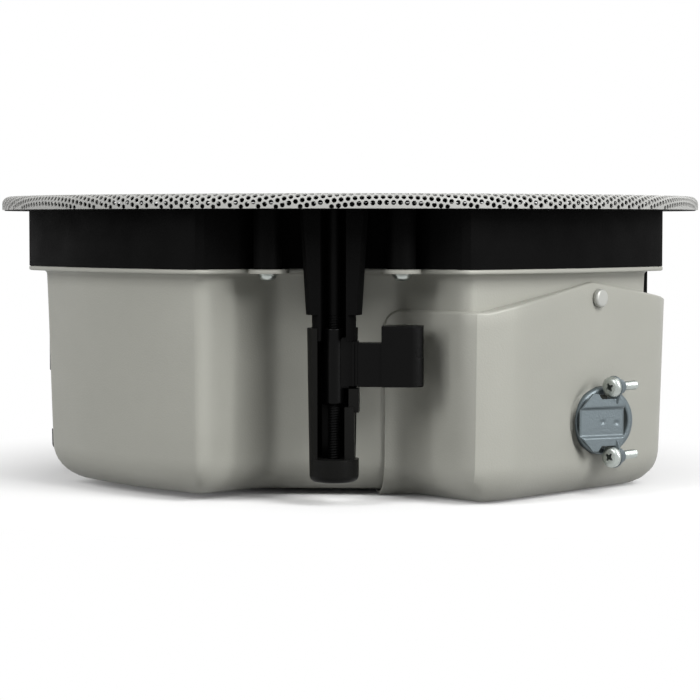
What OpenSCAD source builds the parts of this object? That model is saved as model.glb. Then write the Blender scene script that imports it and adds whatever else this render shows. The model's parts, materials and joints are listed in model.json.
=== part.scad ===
// Low-profile ceiling speaker with a lobed steel back can, four swing-out
// clamps, a side wiring box and a perforated grille.
// Z = 0 is the underside of the rim, where it meets the ceiling.
// +Z points out through the grille, and clamp 1 stands at -Y.

/* [Grille] */
// Radius of the grille
grille_r = 150; // [148:0.5:156]
// Height of the grille's shoulder above the rim underside
grille_shoulder_z = 6.0; // [5.6:0.1:8]
// Rise of the grille from its shoulder to its centre
grille_crown = 1.2; // [0.6:0.1:2.4]
// Thickness of the grille sheet
grille_t = 0.8; // [0.6:0.1:1.2]
// Radius of the rounded shoulder
grille_corner = 3.2; // [2:0.1:4]
// Gap between the grille's lower edge and the rim underside
grille_lift = 0.4; // [0.2:0.1:0.8]

/* [Lobed outline] */
// Radius of the can's outline at the middle of a lobe
lobe_mid_r = 130.5; // [128:0.5:134]
// Radius of the curve along a lobe
lobe_curve_r = 230; // [180:5:260]
// Distance from the axis to the back wall of a recess
recess_depth = 99; // [96:0.5:101]
// Half width of the back wall of a recess
recess_half_w = 26.7; // [24:0.1:28]
// Slope of the slanted panel beside a recess, in degrees
panel_slope = 46.8; // [42:0.2:50]
// Step from the can's wall out to the edge of its flange
flange_step = 6; // [5:0.25:7]

/* [Back can] */
// Top of the can's flange, where the baffle frame ends
frame_depth = 22.8; // [21:0.2:26]
// Thickness of the folded flange
flange_t = 1.9; // [1.6:0.1:2.4]
// Thickness of the can's sheet
can_t = 1.5; // [1.2:0.1:2]
// Depth of the can's floor below the rim underside
can_depth = 111.8; // [108:0.2:120]
// Radius of the can's bottom edge
can_fillet = 15; // [12:0.5:17]
// Draft of the can's wall, in degrees
can_draft = 1.4; // [0.8:0.1:2]
// Radius of the embossed disc in the can's floor
emboss_r = 60; // [50:1:66]
// Height of the embossed disc
emboss_h = 0.9; // [0.6:0.1:1.2]

/* [Wiring box] */
// Direction of the box's flat face, in degrees from clamp 1
face_az = 50; // [48:0.5:51]
// Distance from the axis to the box's flat face
face_k = 132.2; // [131.6:0.2:134]
// Radius that the box's corners keep within
box_corner_r = 139.8; // [137:0.2:142]
// Distance from the front recess's centre line to the box's end
box_reach = 19; // [17:0.5:22]
// Gap between the can's far slanted panel and the box
box_overhang = 13.4; // [10:0.2:14]
// Thickness of the box's sheet
box_t = 1.2; // [1:0.1:1.4]
// How far the box's floor lies below the can's
box_drop = 2; // [1:0.2:3]
// Depth of the box's straight top edge
box_top = 39; // [37:0.5:41]
// Depth of the top edge at its peak
box_peak = 28.3; // [27.4:0.1:31]
// Fall of the top edge left of its peak, per unit of length
fall_left = 0.178; // [0.12:0.01:0.2]
// Fall of the top edge right of its peak, per unit of length
fall_right = 0.141; // [0.1:0.01:0.2]
// Depth of the can's pocket behind the box, from the axis
pocket_k = 104; // [100:1:108]
// Top of the pocket behind the box
pocket_top = 46; // [44:1:50]

/* [Cable connector] */
// Depth of the cable entry below the rim underside
entry_z = 84.2; // [80:0.5:88]
// Direction of the cable entry, in degrees from clamp 1
entry_az = 27; // [24:0.5:30]
// Position of the entry along the flat face, from its middle
entry_t = 5.6; // [4:0.1:8]
// Outer radius of the connector
entry_r = 13.6; // [13:0.1:14.5]
// Radius of the cable entry
entry_bore_r = 10.5; // [9.5:0.1:11]
// Height of the connector in front of the face at its middle
entry_proud = 2.6; // [1.5:0.1:3.5]
// Depth of the connector behind the face at its middle
entry_sink = 13; // [11:0.5:16]

/* [Baffle frame] */
// Radial gap between the rim and the grille's skirt
rim_gap = 0.2; // [0.1:0.05:0.6]
// Thickness of the rim
rim_t = 2.4; // [2:0.1:3]
// Wall thickness of the frame's barrel
barrel_t = 3; // [2.4:0.1:3.4]
// Depth of the front plate's top face below the rim underside
plate_z = 6; // [5.6:0.1:7]
// Thickness of the front plate
plate_t = 3; // [2.4:0.1:4]
// Radius of the screw bosses
can_boss_r = 5.5; // [5:0.1:6]
// Half spacing of the can screws in a recess
can_screw_u = 25.9; // [24.5:0.1:27]
// Distance of the can screws in front of their recess's back wall
can_screw_out = 19; // [18:0.2:20]

/* [Clamp towers] */
// Distance of the clamp screws in front of their recess's back wall
tower_out = 23; // [22.5:0.1:23.5]
// Radius of the tower at the rim
flare_top_r = 13.2; // [12.6:0.1:13.6]
// Radius of the tower at the end of its flare
flare_end_r = 10.8; // [10.2:0.1:11.2]
// Depth of the end of the flare
flare_end = 40.2; // [38:0.2:42]
// Radius of the tower's lower boss
boss_r = 8.5; // [8.2:0.1:8.6]
// Depth of the end of the boss
boss_end = 50.2; // [49:0.1:50.3]
// Distance from the tower's axis to its flat outer face
tower_face = 6.4; // [5.8:0.1:6.8]
// Half width of the slot in the tower
slot_half = 4.9; // [4.7:0.05:5.2]

/* [Clamp guides] */
// Depth of the top of the guide
guide_top = 45.3; // [44.5:0.1:46]
// Depth of the end of the guide
guide_end = 105.7; // [103:0.1:107]
// Height of the cup at the guide's end
cup_h = 10; // [8:0.5:11]
// Outer radius of the guide at its top
guide_top_r = 10.4; // [10:0.1:10.8]
// Outer radius of the guide at its end
guide_end_r = 9.45; // [9.2:0.05:9.8]
// Inner radius of the guide
guide_bore_r = 8.8; // [8.7:0.05:8.9]
// Depth of the top of the guide's stop lug
lug_top = 68.5; // [68.3:0.1:70]
// Height of the stop lug
lug_h = 9.1; // [8:0.1:10]

/* [Clamp arms] */
// Radius of the arm's collar
collar_r = 4.1; // [3.9:0.05:4.15]
// Depth of the top of the collar
collar_top = 45.5; // [45.4:0.1:46]
// Depth of the end of the collar
collar_end = 74.4; // [72:0.2:77]
// Height of the arm's web
web_h = 17.2; // [15:0.2:17.4]
// Thickness of the arm's web
web_t = 8.8; // [7:0.1:9]
// Distance from the screw to the start of the pad
pad_start = 18.4; // [17.5:0.1:19.5]
// Distance from the screw to the end of the pad
pad_end = 34.5; // [32:0.1:35]
// Thickness of the pad
pad_t = 14; // [12:0.2:14.4]
// Depth of the top of the pad
pad_top = 44.4; // [43.8:0.1:45]

/* [Clamp screws] */
// Radius of the clamp screw's shank
clamp_shank_r = 2.5; // [2.2:0.05:2.6]
// Radius of the clamp screw's head
clamp_head_r = 4.6; // [4.2:0.1:5]
// Height of the clamp screw's head
clamp_head_h = 2.3; // [1.8:0.1:2.4]
// Radial clearance of the clamp screw in its bores
clamp_fit = 0.06; // [0.04:0.01:0.09]

/* [Woofer] */
// Gap between the woofer's flange and the frame's inner wall
woofer_gap = 2; // [1:0.25:4]
// Lap of the woofer's flange on the front plate
woofer_lap = 8; // [7:0.25:9]
// Thickness of the basket's sheet
basket_t = 1.4; // [1.1:0.1:1.6]
// Distance from the opening in the front plate to the middle of the surround's roll
surround_inset = 6; // [5.5:0.1:7]
// Radius of the surround's roll
roll_r = 4.6; // [4:0.1:5]
// Height of the cone
cone_h = 35; // [32:0.5:36]
// Thickness of the cone
cone_t = 0.9; // [0.7:0.1:1.2]
// Radius of the voice coil's former
former_r = 19; // [18:0.25:20]
// Depth of the spider below the woofer's flange
spider_drop = 37; // [36:0.5:39]
// Radius of the spider's outer edge
spider_r = 52; // [48:0.5:54]
// Depth of the top plate below the woofer's flange
motor_drop = 50; // [49:0.5:53]
// Radius of the ring magnet
magnet_r = 50; // [46:0.5:54]
// Height of the ring magnet
magnet_h = 16; // [14:0.5:18]
// Thickness of the top and back plates
pole_t = 6; // [5:0.5:7]
// Radial gap between the moving coil and the motor
coil_gap = 0.45; // [0.35:0.05:0.6]

/* [Tweeter] */
// Radius of the tweeter's housing
tweeter_r = 26; // [24:0.5:28]
// Radius of the tweeter's dome
dome_r = 12.5; // [11:0.25:13]
// Depth of the housing's front below the rim underside
tweeter_front = 1.5; // [1:0.1:3]
// Height of the housing
tweeter_h = 11; // [10:0.5:13]
// Radius of the post that carries the tweeter
post_r = 4; // [3.5:0.1:4.4]

/* [Crossover] */
// Length of the crossover board
board_l = 68; // [64:1:72]
// Width of the crossover board
board_w = 44; // [40:1:46]
// Height of the board's spacers
spacer_h = 6; // [5:0.5:8]
// Width of the transformer's core
core_w = 48; // [44:1:50]
// Height of the transformer's core
core_h = 40; // [36:1:42]
// Stack of the transformer's core
core_stack = 20; // [16:1:22]

/* [Hidden] */
$fn = 96;
seat = 0.3;
box_depth = can_depth + box_drop;
rim_r = grille_r - grille_t - rim_gap;
tower_r = recess_depth + tower_out;
can_screw_v = recess_depth + can_screw_out;
woofer_r = recess_depth + flange_step - barrel_t - woofer_gap;
cutout_r = woofer_r - woofer_lap;
surround_r = cutout_r - surround_inset;
towers = [0, 1, 2, 3];

// Angles of the outline's points in half a sector, dense where it bends
half_sector = [0, 8, 12, 14, 16, 18.5, 20.6, 21.8, 22.8, 24, 26, 29.5, 37, 45];
half_last = len(half_sector) - 1;
sector = concat([for (i = [0 : half_last]) half_sector[i]],
                [for (i = [half_last - 1 : -1 : 1]) 90 - half_sector[i]]);
ring_az = [for (k = towers) for (a = sector) 90 * k + a];
blend = 8;

flange_z = -frame_depth;
flange_bottom = flange_z - flange_t;
fillet_top = -can_depth + can_fillet;
face_half = acos(face_k / box_corner_r);

// Smooth minimum and maximum, which round a corner where two walls cross
function smin(a, b, s) =
    let (h = max(s - abs(a - b), 0) / s) min(a, b) - h * h * s / 4;
function smax(a, b, s) = -smin(-a, -b, s);

// Angle from the nearest recess centre line, from 0 to 45
function folded(a) = let (m = (a + 360) % 90) min(m, 90 - m);

// Radius at which a ray meets a straight wall of a given normal and distance
function wall_r(a, normal, k) =
    let (c = cos(a - normal)) c < 0.08 ? 1000 : k / c;

// Radius of the curved lobe, pulled in by d
function lobe_r(f, d) =
    let (back = lobe_curve_r - lobe_mid_r, t = 45 - f)
    -back * cos(t) + sqrt(pow(lobe_curve_r - d, 2) - pow(back * sin(t), 2));

// Radius of a notch with a flat back and two slanted panels, pulled in by d
function notch_r(f, depth, half_w, slope, d) =
    smax(wall_r(f, 0, depth - d),
         wall_r(f, -slope, depth * cos(slope) - half_w * sin(slope) - d), blend);

// Radius of the lobed outline, pulled in by d
function outline_r(a, d) =
    smin(lobe_r(folded(a), d),
         notch_r(folded(a), recess_depth, recess_half_w, panel_slope, d), blend);

// Radius of the can's outline where the pocket behind the wiring box is cut
pocket_half = 30;
pocket_slope = 60;
function pocketed_r(a, d) =
    min(outline_r(a, d),
        abs(a - 45) < 22 ? notch_r(abs(a - 45), pocket_k, pocket_half, pocket_slope, d)
                         : 1000);

// Radius of the wiring box's outline: it hugs the near recess, rounds the
// ridge and crosses the lobe as a flat face
box_gap = box_t + 1.5 * seat;
box_round = 5;
panel_k = recess_depth * cos(panel_slope) - recess_half_w * sin(panel_slope);
function box_r(a, d) =
    let (face = smin(wall_r(a, face_az, face_k - d), box_corner_r - d, 2),
         near = notch_r(a, recess_depth, recess_half_w, panel_slope, d - box_gap),
         far = wall_r(90 - a, -panel_slope, panel_k + box_overhang - d))
    smin(smin(face, near, box_round), far, box_round);

// Depth of the box's top edge: a peak over the middle of the face
function box_top_z(a) =
    let (t = face_k * tan(max(min(a - face_az, 40), -40)),
         fall = t < 0 ? fall_left : fall_right)
    max(-box_top, -box_peak - fall * abs(t));

function draft(z) = (flange_bottom - z) * tan(can_draft);
function polar(r, a, z) = [r * sin(a), -r * cos(a), z];

// A solid skinned over one closed profile per angle. Profiles hold [r, z]
// points, and the loft closes on itself or ends in flat caps.
module angular_loft(angles, profiles, closed) {
    n = len(angles);
    m = len(profiles[0]);
    points = [for (i = [0 : n - 1]) for (p = profiles[i]) polar(p[0], angles[i], p[1])];
    last = closed ? n - 1 : n - 2;
    sides = [for (i = [0 : last]) for (j = [0 : m - 1])
             let (i2 = (i + 1) % n, j2 = (j + 1) % m)
             each [[i * m + j, i2 * m + j2, i * m + j2],
                   [i * m + j, i2 * m + j, i2 * m + j2]]];
    caps = closed ? [] : [[for (j = [0 : m - 1]) j],
                          [for (j = [m - 1 : -1 : 0]) (n - 1) * m + j]];
    polyhedron(points = points, faces = concat(sides, caps), convexity = 10);
}

function outline_points(d) =
    [for (a = ring_az) let (r = outline_r(a, d)) [r * sin(a), -r * cos(a)]];

module outline_plate(d, z0, z1) {
    translate([0, 0, z0]) linear_extrude(z1 - z0) polygon(outline_points(d));
}

module ring(r_out, r_in, z0, z1) {
    translate([0, 0, z0]) difference() {
        cylinder(r = r_out, h = z1 - z0);
        translate([0, 0, -1]) cylinder(r = r_in, h = z1 - z0 + 2);
    }
}

// Moves a piece from the tower's own frame to tower k: +X is along the rim,
// +Y points away from the speaker's axis
module at_tower(k) {
    rotate(90 * k) translate([0, -tower_r, 0]) mirror([0, 1, 0]) children();
}

// Moves a piece to each of the eight can screws
module at_can_screws() {
    for (k = towers) for (side = [-1, 1])
        rotate(90 * k) translate([side * can_screw_u, -can_screw_v, 0]) children();
}

// A pan head with a cross recess, its seat at z = 0 and its crown at -h
module pan_head(r, h) {
    slot_w = r * 0.28;
    slot_l = r * 1.1;
    difference() {
        rotate_extrude() intersection() {
            translate([0, -h]) square([r, h]);
            translate([0, 1.6 * r - h]) circle(r = 1.6 * r);
        }
        for (a = [0, 90]) rotate(a)
            translate([-slot_l / 2, -slot_w / 2, -h - 1]) cube([slot_l, slot_w, 1 + h * 0.55]);
    }
}

// Grille
shoulder_r = grille_r - grille_corner;
crown_r = (pow(shoulder_r, 2) + pow(grille_crown, 2)) / (2 * grille_crown);
function dome_z(r) = grille_shoulder_z + grille_crown - crown_r
                     + sqrt(pow(crown_r, 2) - r * r);

function grille_outer(inset) = concat(
    [[0, dome_z(0) - inset]],
    [for (i = [1 : 9]) [shoulder_r * i / 10, dome_z(shoulder_r * i / 10) - inset]],
    [for (i = [0 : 6]) let (a = 90 - 15 * i, c = grille_corner - inset)
        [shoulder_r + c * cos(a), grille_shoulder_z - grille_corner + c * sin(a)]],
    [[grille_r - inset, grille_lift]]);

module grille() {
    skin = grille_outer(0);
    under = grille_outer(grille_t);
    color([0.78, 0.78, 0.77]) rotate_extrude($fn = 180)
        polygon(concat(skin, [for (i = [len(under) - 1 : -1 : 0]) under[i]]));
}

cloth_r = shoulder_r - 4;
module grille_cloth() {
    gap = grille_t + 0.05;
    top = [for (i = [0 : 10]) let (r = cloth_r * i / 10) [r, dome_z(r) - gap]];
    color([0.06, 0.06, 0.06]) rotate_extrude()
        polygon(concat(top, [for (i = [10 : -1 : 0]) top[i] - [0, 0.35]]));
}

magnet_disc_r = 4;
magnet_ring_r = rim_r - 7.5;
module magnet_places() {
    for (a = [45 : 45 : 360]) rotate(a + 22.5) translate([0, -magnet_ring_r, 0]) children();
}

module grille_magnets() {
    color([0.7, 0.7, 0.72]) magnet_places()
        translate([0, 0, rim_t - 1.5]) cylinder(r = magnet_disc_r, h = 1.5, $fn = 32);
}

// Baffle frame
ledge_inner = 2;
plate_top = -plate_z;
plate_bottom = plate_top - plate_t;
gasket_z = flange_z + 0.8;
pilot_r = 1.95;
tap_az = 225;
tap_r = woofer_r + 12;

module tower() {
    difference() {
        union() {
            translate([0, 0, -flare_end])
                cylinder(r1 = flare_end_r, r2 = flare_top_r, h = flare_end + 0.5);
            translate([0, 0, -boss_end]) cylinder(r = boss_r, h = boss_end - flare_end + 1);
            translate([-6, -(tower_r - recess_depth - flange_step + barrel_t - 1.5), flange_z])
                cube([12, tower_r - recess_depth - flange_step - flare_end_r + 6, frame_depth + 0.5]);
        }
        translate([-30, tower_face, -boss_end - 1]) cube([60, 30, boss_end + 1]);
        translate([0, 0, -boss_end - 1]) cylinder(r = slot_half, h = boss_end + 1);
        translate([-slot_half, 0, -boss_end - 1]) cube([2 * slot_half, 30, boss_end + 1]);
    }
}

module baffle_frame() {
    color([0.09, 0.09, 0.1]) difference() {
        union() {
            difference() {
                union() {
                    cylinder(r = rim_r, h = rim_t, $fn = 180);
                    outline_plate(-flange_step, flange_z, 1);
                }
                outline_plate(barrel_t - flange_step, plate_top, rim_t + 1);
                outline_plate(barrel_t - flange_step, flange_z + 3, plate_bottom);
                outline_plate(ledge_inner, flange_z - 1, flange_z + 4);
                translate([0, 0, plate_bottom - 1]) cylinder(r = cutout_r, h = plate_t + 2);
            }
            at_can_screws() {
                translate([0, 0, flange_z]) cylinder(r = can_boss_r, h = frame_depth + 1);
                translate([-2, 0, flange_z])
                    cube([4, can_screw_v - recess_depth - flange_step + 1, frame_depth + 1]);
            }
            for (k = towers) at_tower(k) tower();
        }
        at_can_screws() translate([0, 0, flange_z - 1]) cylinder(r = pilot_r, h = 15);
        for (k = towers) at_tower(k)
            translate([0, 0, -1]) cylinder(r = clamp_shank_r + clamp_fit, h = rim_t + 2);
        magnet_places() translate([0, 0, rim_t - 1.5])
            cylinder(r = magnet_disc_r + 0.05, h = 2, $fn = 32);
        difference() {
            outline_plate(-3.8, flange_z - 1, gasket_z);
            outline_plate(-1.2, flange_z - 2, gasket_z + 1);
        }
        woofer_screw_places() translate([0, 0, plate_bottom - 1])
            cylinder(r = woofer_screw_r + 0.05, h = plate_t + 2, $fn = 24);
        rotate(tap_az) translate([0, -tap_r, plate_bottom - 1])
            cylinder(r = tap_bush_r + 0.1, h = plate_t + 2);
    }
}

module can_gasket() {
    color([0.15, 0.15, 0.15]) difference() {
        outline_plate(-3.7, flange_z, gasket_z);
        outline_plate(-1.3, flange_z - 1, gasket_z + 1);
    }
}

// Clamp guide, in the tower's frame
rail_x = [4.3, 7.9];
module clamp_guide() {
    cup_top = -guide_end + cup_h;
    lug_bottom = -lug_top - lug_h;
    rail_y = [-6.5, 5.5];
    difference() {
        union() {
            difference() {
                translate([0, 0, -guide_end])
                    cylinder(r1 = guide_end_r, r2 = guide_top_r, h = guide_end - guide_top);
                translate([0, 0, cup_top]) cylinder(r = guide_bore_r, h = 100);
                translate([-5, -5.2, cup_top]) cube([30, 30, 100]);
                translate([-30, tower_face, cup_top]) cube([60, 30, 100]);
            }
            intersection() {
                translate([0, 0, -guide_end]) cylinder(r = guide_end_r, h = lug_h + guide_end - lug_top);
                translate([rail_x[0], rail_y[0], cup_top - 1])
                    cube([rail_x[1] - rail_x[0], rail_y[1] - rail_y[0],
                          lug_bottom - cup_top + 3]);
            }
            translate([rail_x[0] + 1.5, -4.5, lug_bottom]) lug();
        }
        translate([0, 0, cup_top - 8]) cylinder(r = clamp_shank_r + clamp_fit, h = 20);
    }
}

module lug() {
    width = 3.9;
    depth = 9;
    rotate([90, 0, 0]) mirror([0, 0, 1]) linear_extrude(depth)
        polygon(concat([for (a = [180 : 15 : 270]) [2.5 + 2.5 * cos(a), 2.5 + 2.5 * sin(a)]],
                       [[width, 0], [width, lug_h], [0, lug_h]]));
}

module clamp_guide_n(k) {
    color([0.17, 0.17, 0.165]) at_tower(k - 1) clamp_guide();
}

// Clamp arm, parked along the rim
module clamp_arm() {
    web_top = -lug_top + 0.6 + web_h;
    pad_y = web_t / 2 + 0.6;
    difference() {
        union() {
            translate([0, 0, -collar_end]) cylinder(r = collar_r, h = collar_end - collar_top);
            translate([0, -web_t / 2 + 0.2, -lug_top + 0.6]) cube([pad_start + 1, web_t - 0.2, web_h]);
            translate([0, 0, -lug_top + 0.6]) linear_extrude(lug_top - 0.6 - pad_top)
                polygon([[pad_start, pad_y - pad_t + 1], [pad_start + 3, pad_y - pad_t],
                         [pad_end - 3, pad_y - pad_t], [pad_end, pad_y - pad_t + 3],
                         [pad_end, pad_y - 5], [pad_end - 1.2, pad_y - 2],
                         [pad_end - 4, pad_y], [pad_start, pad_y]]);
            translate([pad_start - 5, pad_y - 3.5, -lug_top + 0.6 + web_h - 1])
                rotate([90, 0, 0]) linear_extrude(3)
                polygon([[0, 0], [6, 0], [6, lug_top - 0.6 - web_h - pad_top + 1]]);
        }
        translate([0, 0, -collar_end - 1])
            cylinder(r = clamp_shank_r + clamp_fit, h = collar_end - collar_top + 2);
        for (x = [pad_start + 4 : 3 : pad_end - 3])
            translate([x, -20, -pad_top - 0.8]) rotate([0, 45, 0]) cube([1.6, 40, 1.6]);
    }
}

module clamp_arm_n(k) {
    color([0.07, 0.07, 0.075]) at_tower(k - 1) clamp_arm();
}

// Clamp screw, its head on the rim's front face
module clamp_screw_n(k) {
    shank_end = -guide_end + cup_h - 7;
    color([0.13, 0.13, 0.14]) at_tower(k - 1) {
        translate([0, 0, rim_t]) mirror([0, 0, 1]) pan_head(clamp_head_r, clamp_head_h);
        translate([0, 0, shank_end]) cylinder(r = clamp_shank_r, h = rim_t - shank_end);
    }
}

// Back can
fillet_steps = [0 : 22.5 : 90];
function can_fillet_points(a, r, extra) =
    [for (f = fillet_steps)
        [pocketed_r(a, draft(fillet_top) + extra + r * (1 - cos(f))),
         -can_depth + extra + r * (1 - sin(f))]];

emboss_lap = 3;
function can_profile(a) =
    let (outer_fillet = can_fillet_points(a, can_fillet, 0),
         inner_fillet = can_fillet_points(a, can_fillet - can_t, can_t),
         z_in = flange_z - 0.2)
    concat([[outline_r(a, can_t + 2), flange_z],
            [outline_r(a, -flange_step + 0.4), flange_z],
            [outline_r(a, -flange_step), flange_z - 0.5],
            [outline_r(a, -flange_step), flange_bottom + 0.5],
            [outline_r(a, -flange_step + 0.5), flange_bottom],
            [outline_r(a, -1.2), flange_bottom],
            [outline_r(a, 0), flange_bottom - 1.2],
            [outline_r(a, draft(-pocket_top)), -pocket_top],
            [pocketed_r(a, draft(-pocket_top)), -pocket_top - 0.3]],
           outer_fillet,
           [[emboss_r, -can_depth], [emboss_r, -can_depth + can_t]],
           [for (i = [len(inner_fillet) - 1 : -1 : 0]) inner_fillet[i]],
           [[pocketed_r(a, draft(-pocket_top) + can_t), -pocket_top + can_t],
            [outline_r(a, draft(-pocket_top) + can_t), -pocket_top + can_t + 0.3],
            [outline_r(a, can_t), flange_bottom - 1.2]]);

tab_r = 6.5;
module screw_tabs() {
    difference() {
        at_can_screws() translate([0, 0, flange_bottom + 0.06]) {
            cylinder(r = tab_r, h = flange_t - 0.12);
            translate([-tab_r, 0, 0]) cube([2 * tab_r, 14, flange_t - 0.12]);
        }
        at_can_screws() translate([0, 0, flange_bottom - 1])
            cylinder(r = pilot_r + 0.25, h = flange_t + 2);
    }
}

module back_can() {
    color([0.62, 0.62, 0.6]) {
        angular_loft(ring_az, [for (a = ring_az) can_profile(a)], true);
        screw_tabs();
        translate([0, 0, -can_depth + emboss_h])
            cylinder(r = emboss_r + emboss_lap, h = can_t);
    }
}

module can_screws() {
    head_h = 3;
    color([0.72, 0.74, 0.73]) at_can_screws() {
        translate([0, 0, flange_bottom + 0.06]) pan_head(3.3, head_h);
        translate([0, 0, flange_bottom]) cylinder(r = pilot_r - 0.05, h = 12, $fn = 32);
    }
}

// Wiring box: a pressed pan that wraps one lobe, open towards the can
box_start = atan(box_reach / (recess_depth + box_gap));
far_v = recess_depth + 2 * box_gap;
far_u = (far_v * cos(panel_slope) - panel_k - box_overhang) / sin(panel_slope);
box_end = 90 - atan(far_u / far_v);
box_az = concat([box_start],
                [for (a = ring_az) if (a > box_start + 0.5 && a < box_end - 0.5)
                    each (a > 30 && a < 62 ? [a - 4, a] : [a])],
                [box_end]);

floor_end = 78;
function box_fillet_points(a, r, extra) =
    [for (f = fillet_steps)
        [box_r(a, draft(fillet_top) + extra + r * (1 - cos(f))),
         -box_depth + extra + r * (1 - sin(f))]];

function box_profile(a) =
    let (top = box_top_z(a),
         outer_fillet = box_fillet_points(a, can_fillet, 0),
         inner_fillet = box_fillet_points(a, can_fillet - box_t, box_t),
         meet = min(outline_r(a, draft(top)) + seat, box_r(a, draft(top)) - box_t - 0.2))
    concat([[meet, top],
            [box_r(a, draft(top) + 1), top],
            [box_r(a, draft(top) + 0.3), top - 0.3],
            [box_r(a, draft(top)), top - 1]],
           outer_fillet,
           [[floor_end, -box_depth], [floor_end, -box_depth + box_t]],
           [for (i = [len(inner_fillet) - 1 : -1 : 0]) inner_fillet[i]],
           [[box_r(a, draft(top) + box_t), top - box_t],
            [meet - 0.05, top - box_t]]);

// Places a piece at the cable entry: +Z points out of the entry, +X is level
module at_entry() {
    rotate(face_az) translate([entry_t, -face_k, -entry_z])
        rotate(entry_az - face_az) rotate([90, 0, 0]) children();
}

module wiring_box() {
    color([0.62, 0.62, 0.6]) difference() {
        angular_loft(box_az, [for (a = box_az) box_profile(a)], false);
        at_entry() translate([0, 0, -entry_sink - 20])
            cylinder(r = entry_r + 0.05, h = entry_sink + 40);
        at_rivet() translate([0, 0, -10]) cylinder(r = 1.6, h = 20, $fn = 32);
    }
}

rivet_t = 3.5;
rivet_z = 35;
module at_rivet() {
    rotate(face_az) translate([rivet_t, -face_k + draft(-rivet_z), -rivet_z])
        rotate([90, 0, 0]) children();
}

module box_rivet() {
    color([0.62, 0.62, 0.6]) at_rivet() {
        rotate_extrude($fn = 48) polygon([[0, 0.12], [3.7, 0.12], [3.7, 1.9], [3.5, 2.3],
                                          [3.1, 2.5], [0, 2.5]]);
        translate([0, 0, -box_t - 0.2]) cylinder(r = 1.55, h = box_t + 0.4, $fn = 32);
    }
}

// Places a piece on a strap screw: +Z points out of its head
module at_strap_screws() {
    for (s = [0, 1]) mirror([0, s, 0]) translate([strap_x, strap_screw_y, strap_z])
        rotate([0, -strap_turn, 0]) children();
}

// Cable connector, its axis turned towards clamp 1
module cable_connector() {
    lug_r = 3;
    color([0.5, 0.52, 0.52]) at_entry() difference() {
        union() {
            translate([0, 0, -entry_sink]) cylinder(r = entry_r, h = entry_sink + entry_proud - 0.5);
            translate([0, 0, entry_proud - 0.5]) cylinder(r1 = entry_r, r2 = entry_r - 0.5, h = 0.5);
            at_strap_screws() translate([0, 0, -6]) cylinder(r = lug_r, h = 4.3, $fn = 40);
            for (s = [-1, 1]) translate([strap_x + 2, s * (strap_screw_y - 1.4) - 1.4, 0])
                cube([3.6, 2.8, strap_z - 1.6]);
        }
        translate([0, 0, -entry_sink - 1])
            cylinder(r = entry_bore_r, h = entry_sink + entry_proud + 0.4);
        translate([0, 0, entry_proud - 1]) cylinder(r = entry_bore_r, h = 10);
        at_strap_screws() translate([0, 0, -40])
            cylinder(r = strap_shank_r + 0.05, h = 45, $fn = 24);
    }
}

module connector_locknut() {
    nut_h = 3.5;
    color([0.6, 0.62, 0.63]) at_entry() translate([0, 0, -entry_sink - nut_h]) difference() {
        union() {
            cylinder(r = entry_r + 1.4, h = nut_h - 0.05);
            for (a = [30 : 60 : 360]) rotate(a)
                translate([entry_r, -2.4, 0]) cube([3.2, 4.8, nut_h - 0.05]);
        }
        translate([0, 0, -1]) cylinder(r = entry_bore_r, h = nut_h + 2);
    }
}

// Clamp strap: an octagonal plate with a bent middle, on two cross screws
strap_left = -14;
strap_right = 6;
strap_h = 23;
strap_t = 1;
strap_base = 6.5;
strap_x = 0.8;
strap_z = 7.4;
strap_screw_y = 13.9;
strap_turn = 70;
strap_shank_r = 1.7;
module clamp_strap() {
    cut = 5.4;
    rise = 1.1;
    waist = 9.3;
    half = strap_h / 2;
    color([0.5, 0.53, 0.54]) at_entry() {
        translate([0, 0, strap_base]) intersection() {
            translate([strap_left, 0, 0]) rotate([90, 0, 90])
                linear_extrude(strap_right - strap_left)
                polygon([[-half, rise], [-6.4, rise], [-5, 0], [5, 0], [6.4, rise],
                         [half, rise], [half, rise + strap_t], [6, rise + strap_t],
                         [4.6, strap_t], [-4.6, strap_t], [-6, rise + strap_t],
                         [-half, rise + strap_t]]);
            translate([0, 0, -1]) linear_extrude(6)
                polygon([[strap_left + cut, -half], [-6, -half], [-4.5, -waist],
                         [strap_right - 1, -waist], [strap_right, -waist + 2],
                         [strap_right, waist - 2], [strap_right - 1, waist], [-4.5, waist],
                         [-6, half], [strap_left + cut, half],
                         [strap_left, half - cut - 0.6], [strap_left, cut + 0.6 - half]]);
        }
        difference() {
            union() {
                at_strap_screws() translate([0, 0, -strap_t - 0.4]) {
                    cylinder(r = 4.3, h = strap_t, $fn = 40);
                    translate([-2, -6, 0]) cube([4, 6, strap_t]);
                }
            }
            at_strap_screws() translate([0, 0, -5])
                cylinder(r = strap_shank_r + 0.05, h = 10, $fn = 24);
        }
    }
}

module strap_screws() {
    color([0.7, 0.72, 0.71]) at_entry() at_strap_screws() {
        translate([0, 0, -0.35]) mirror([0, 0, 1]) pan_head(4.1, 2.6);
        translate([0, 0, -17.5]) cylinder(r = strap_shank_r, h = 17.5, $fn = 32);
    }
}

// Terminal block on the back wall of the pocket
module terminal_block() {
    ways = 4;
    pitch = 7.5;
    block = [ways * pitch, 9, 14];
    block_z = -92;
    color([0.1, 0.35, 0.2]) rotate(45)
        translate([2 - block[0], draft(block_z + block[2]) - pocket_k - block[1] - seat,
                   block_z])
        difference() {
            cube(block);
            for (i = [0 : ways - 1]) translate([(i + 0.5) * pitch, 0, 0]) {
                translate([-2, -1, 2]) cube([4, 7, 4.5]);
                translate([0, 4.5, 9]) cylinder(r = 1.8, h = 10, $fn = 24);
            }
        }
}

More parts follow.
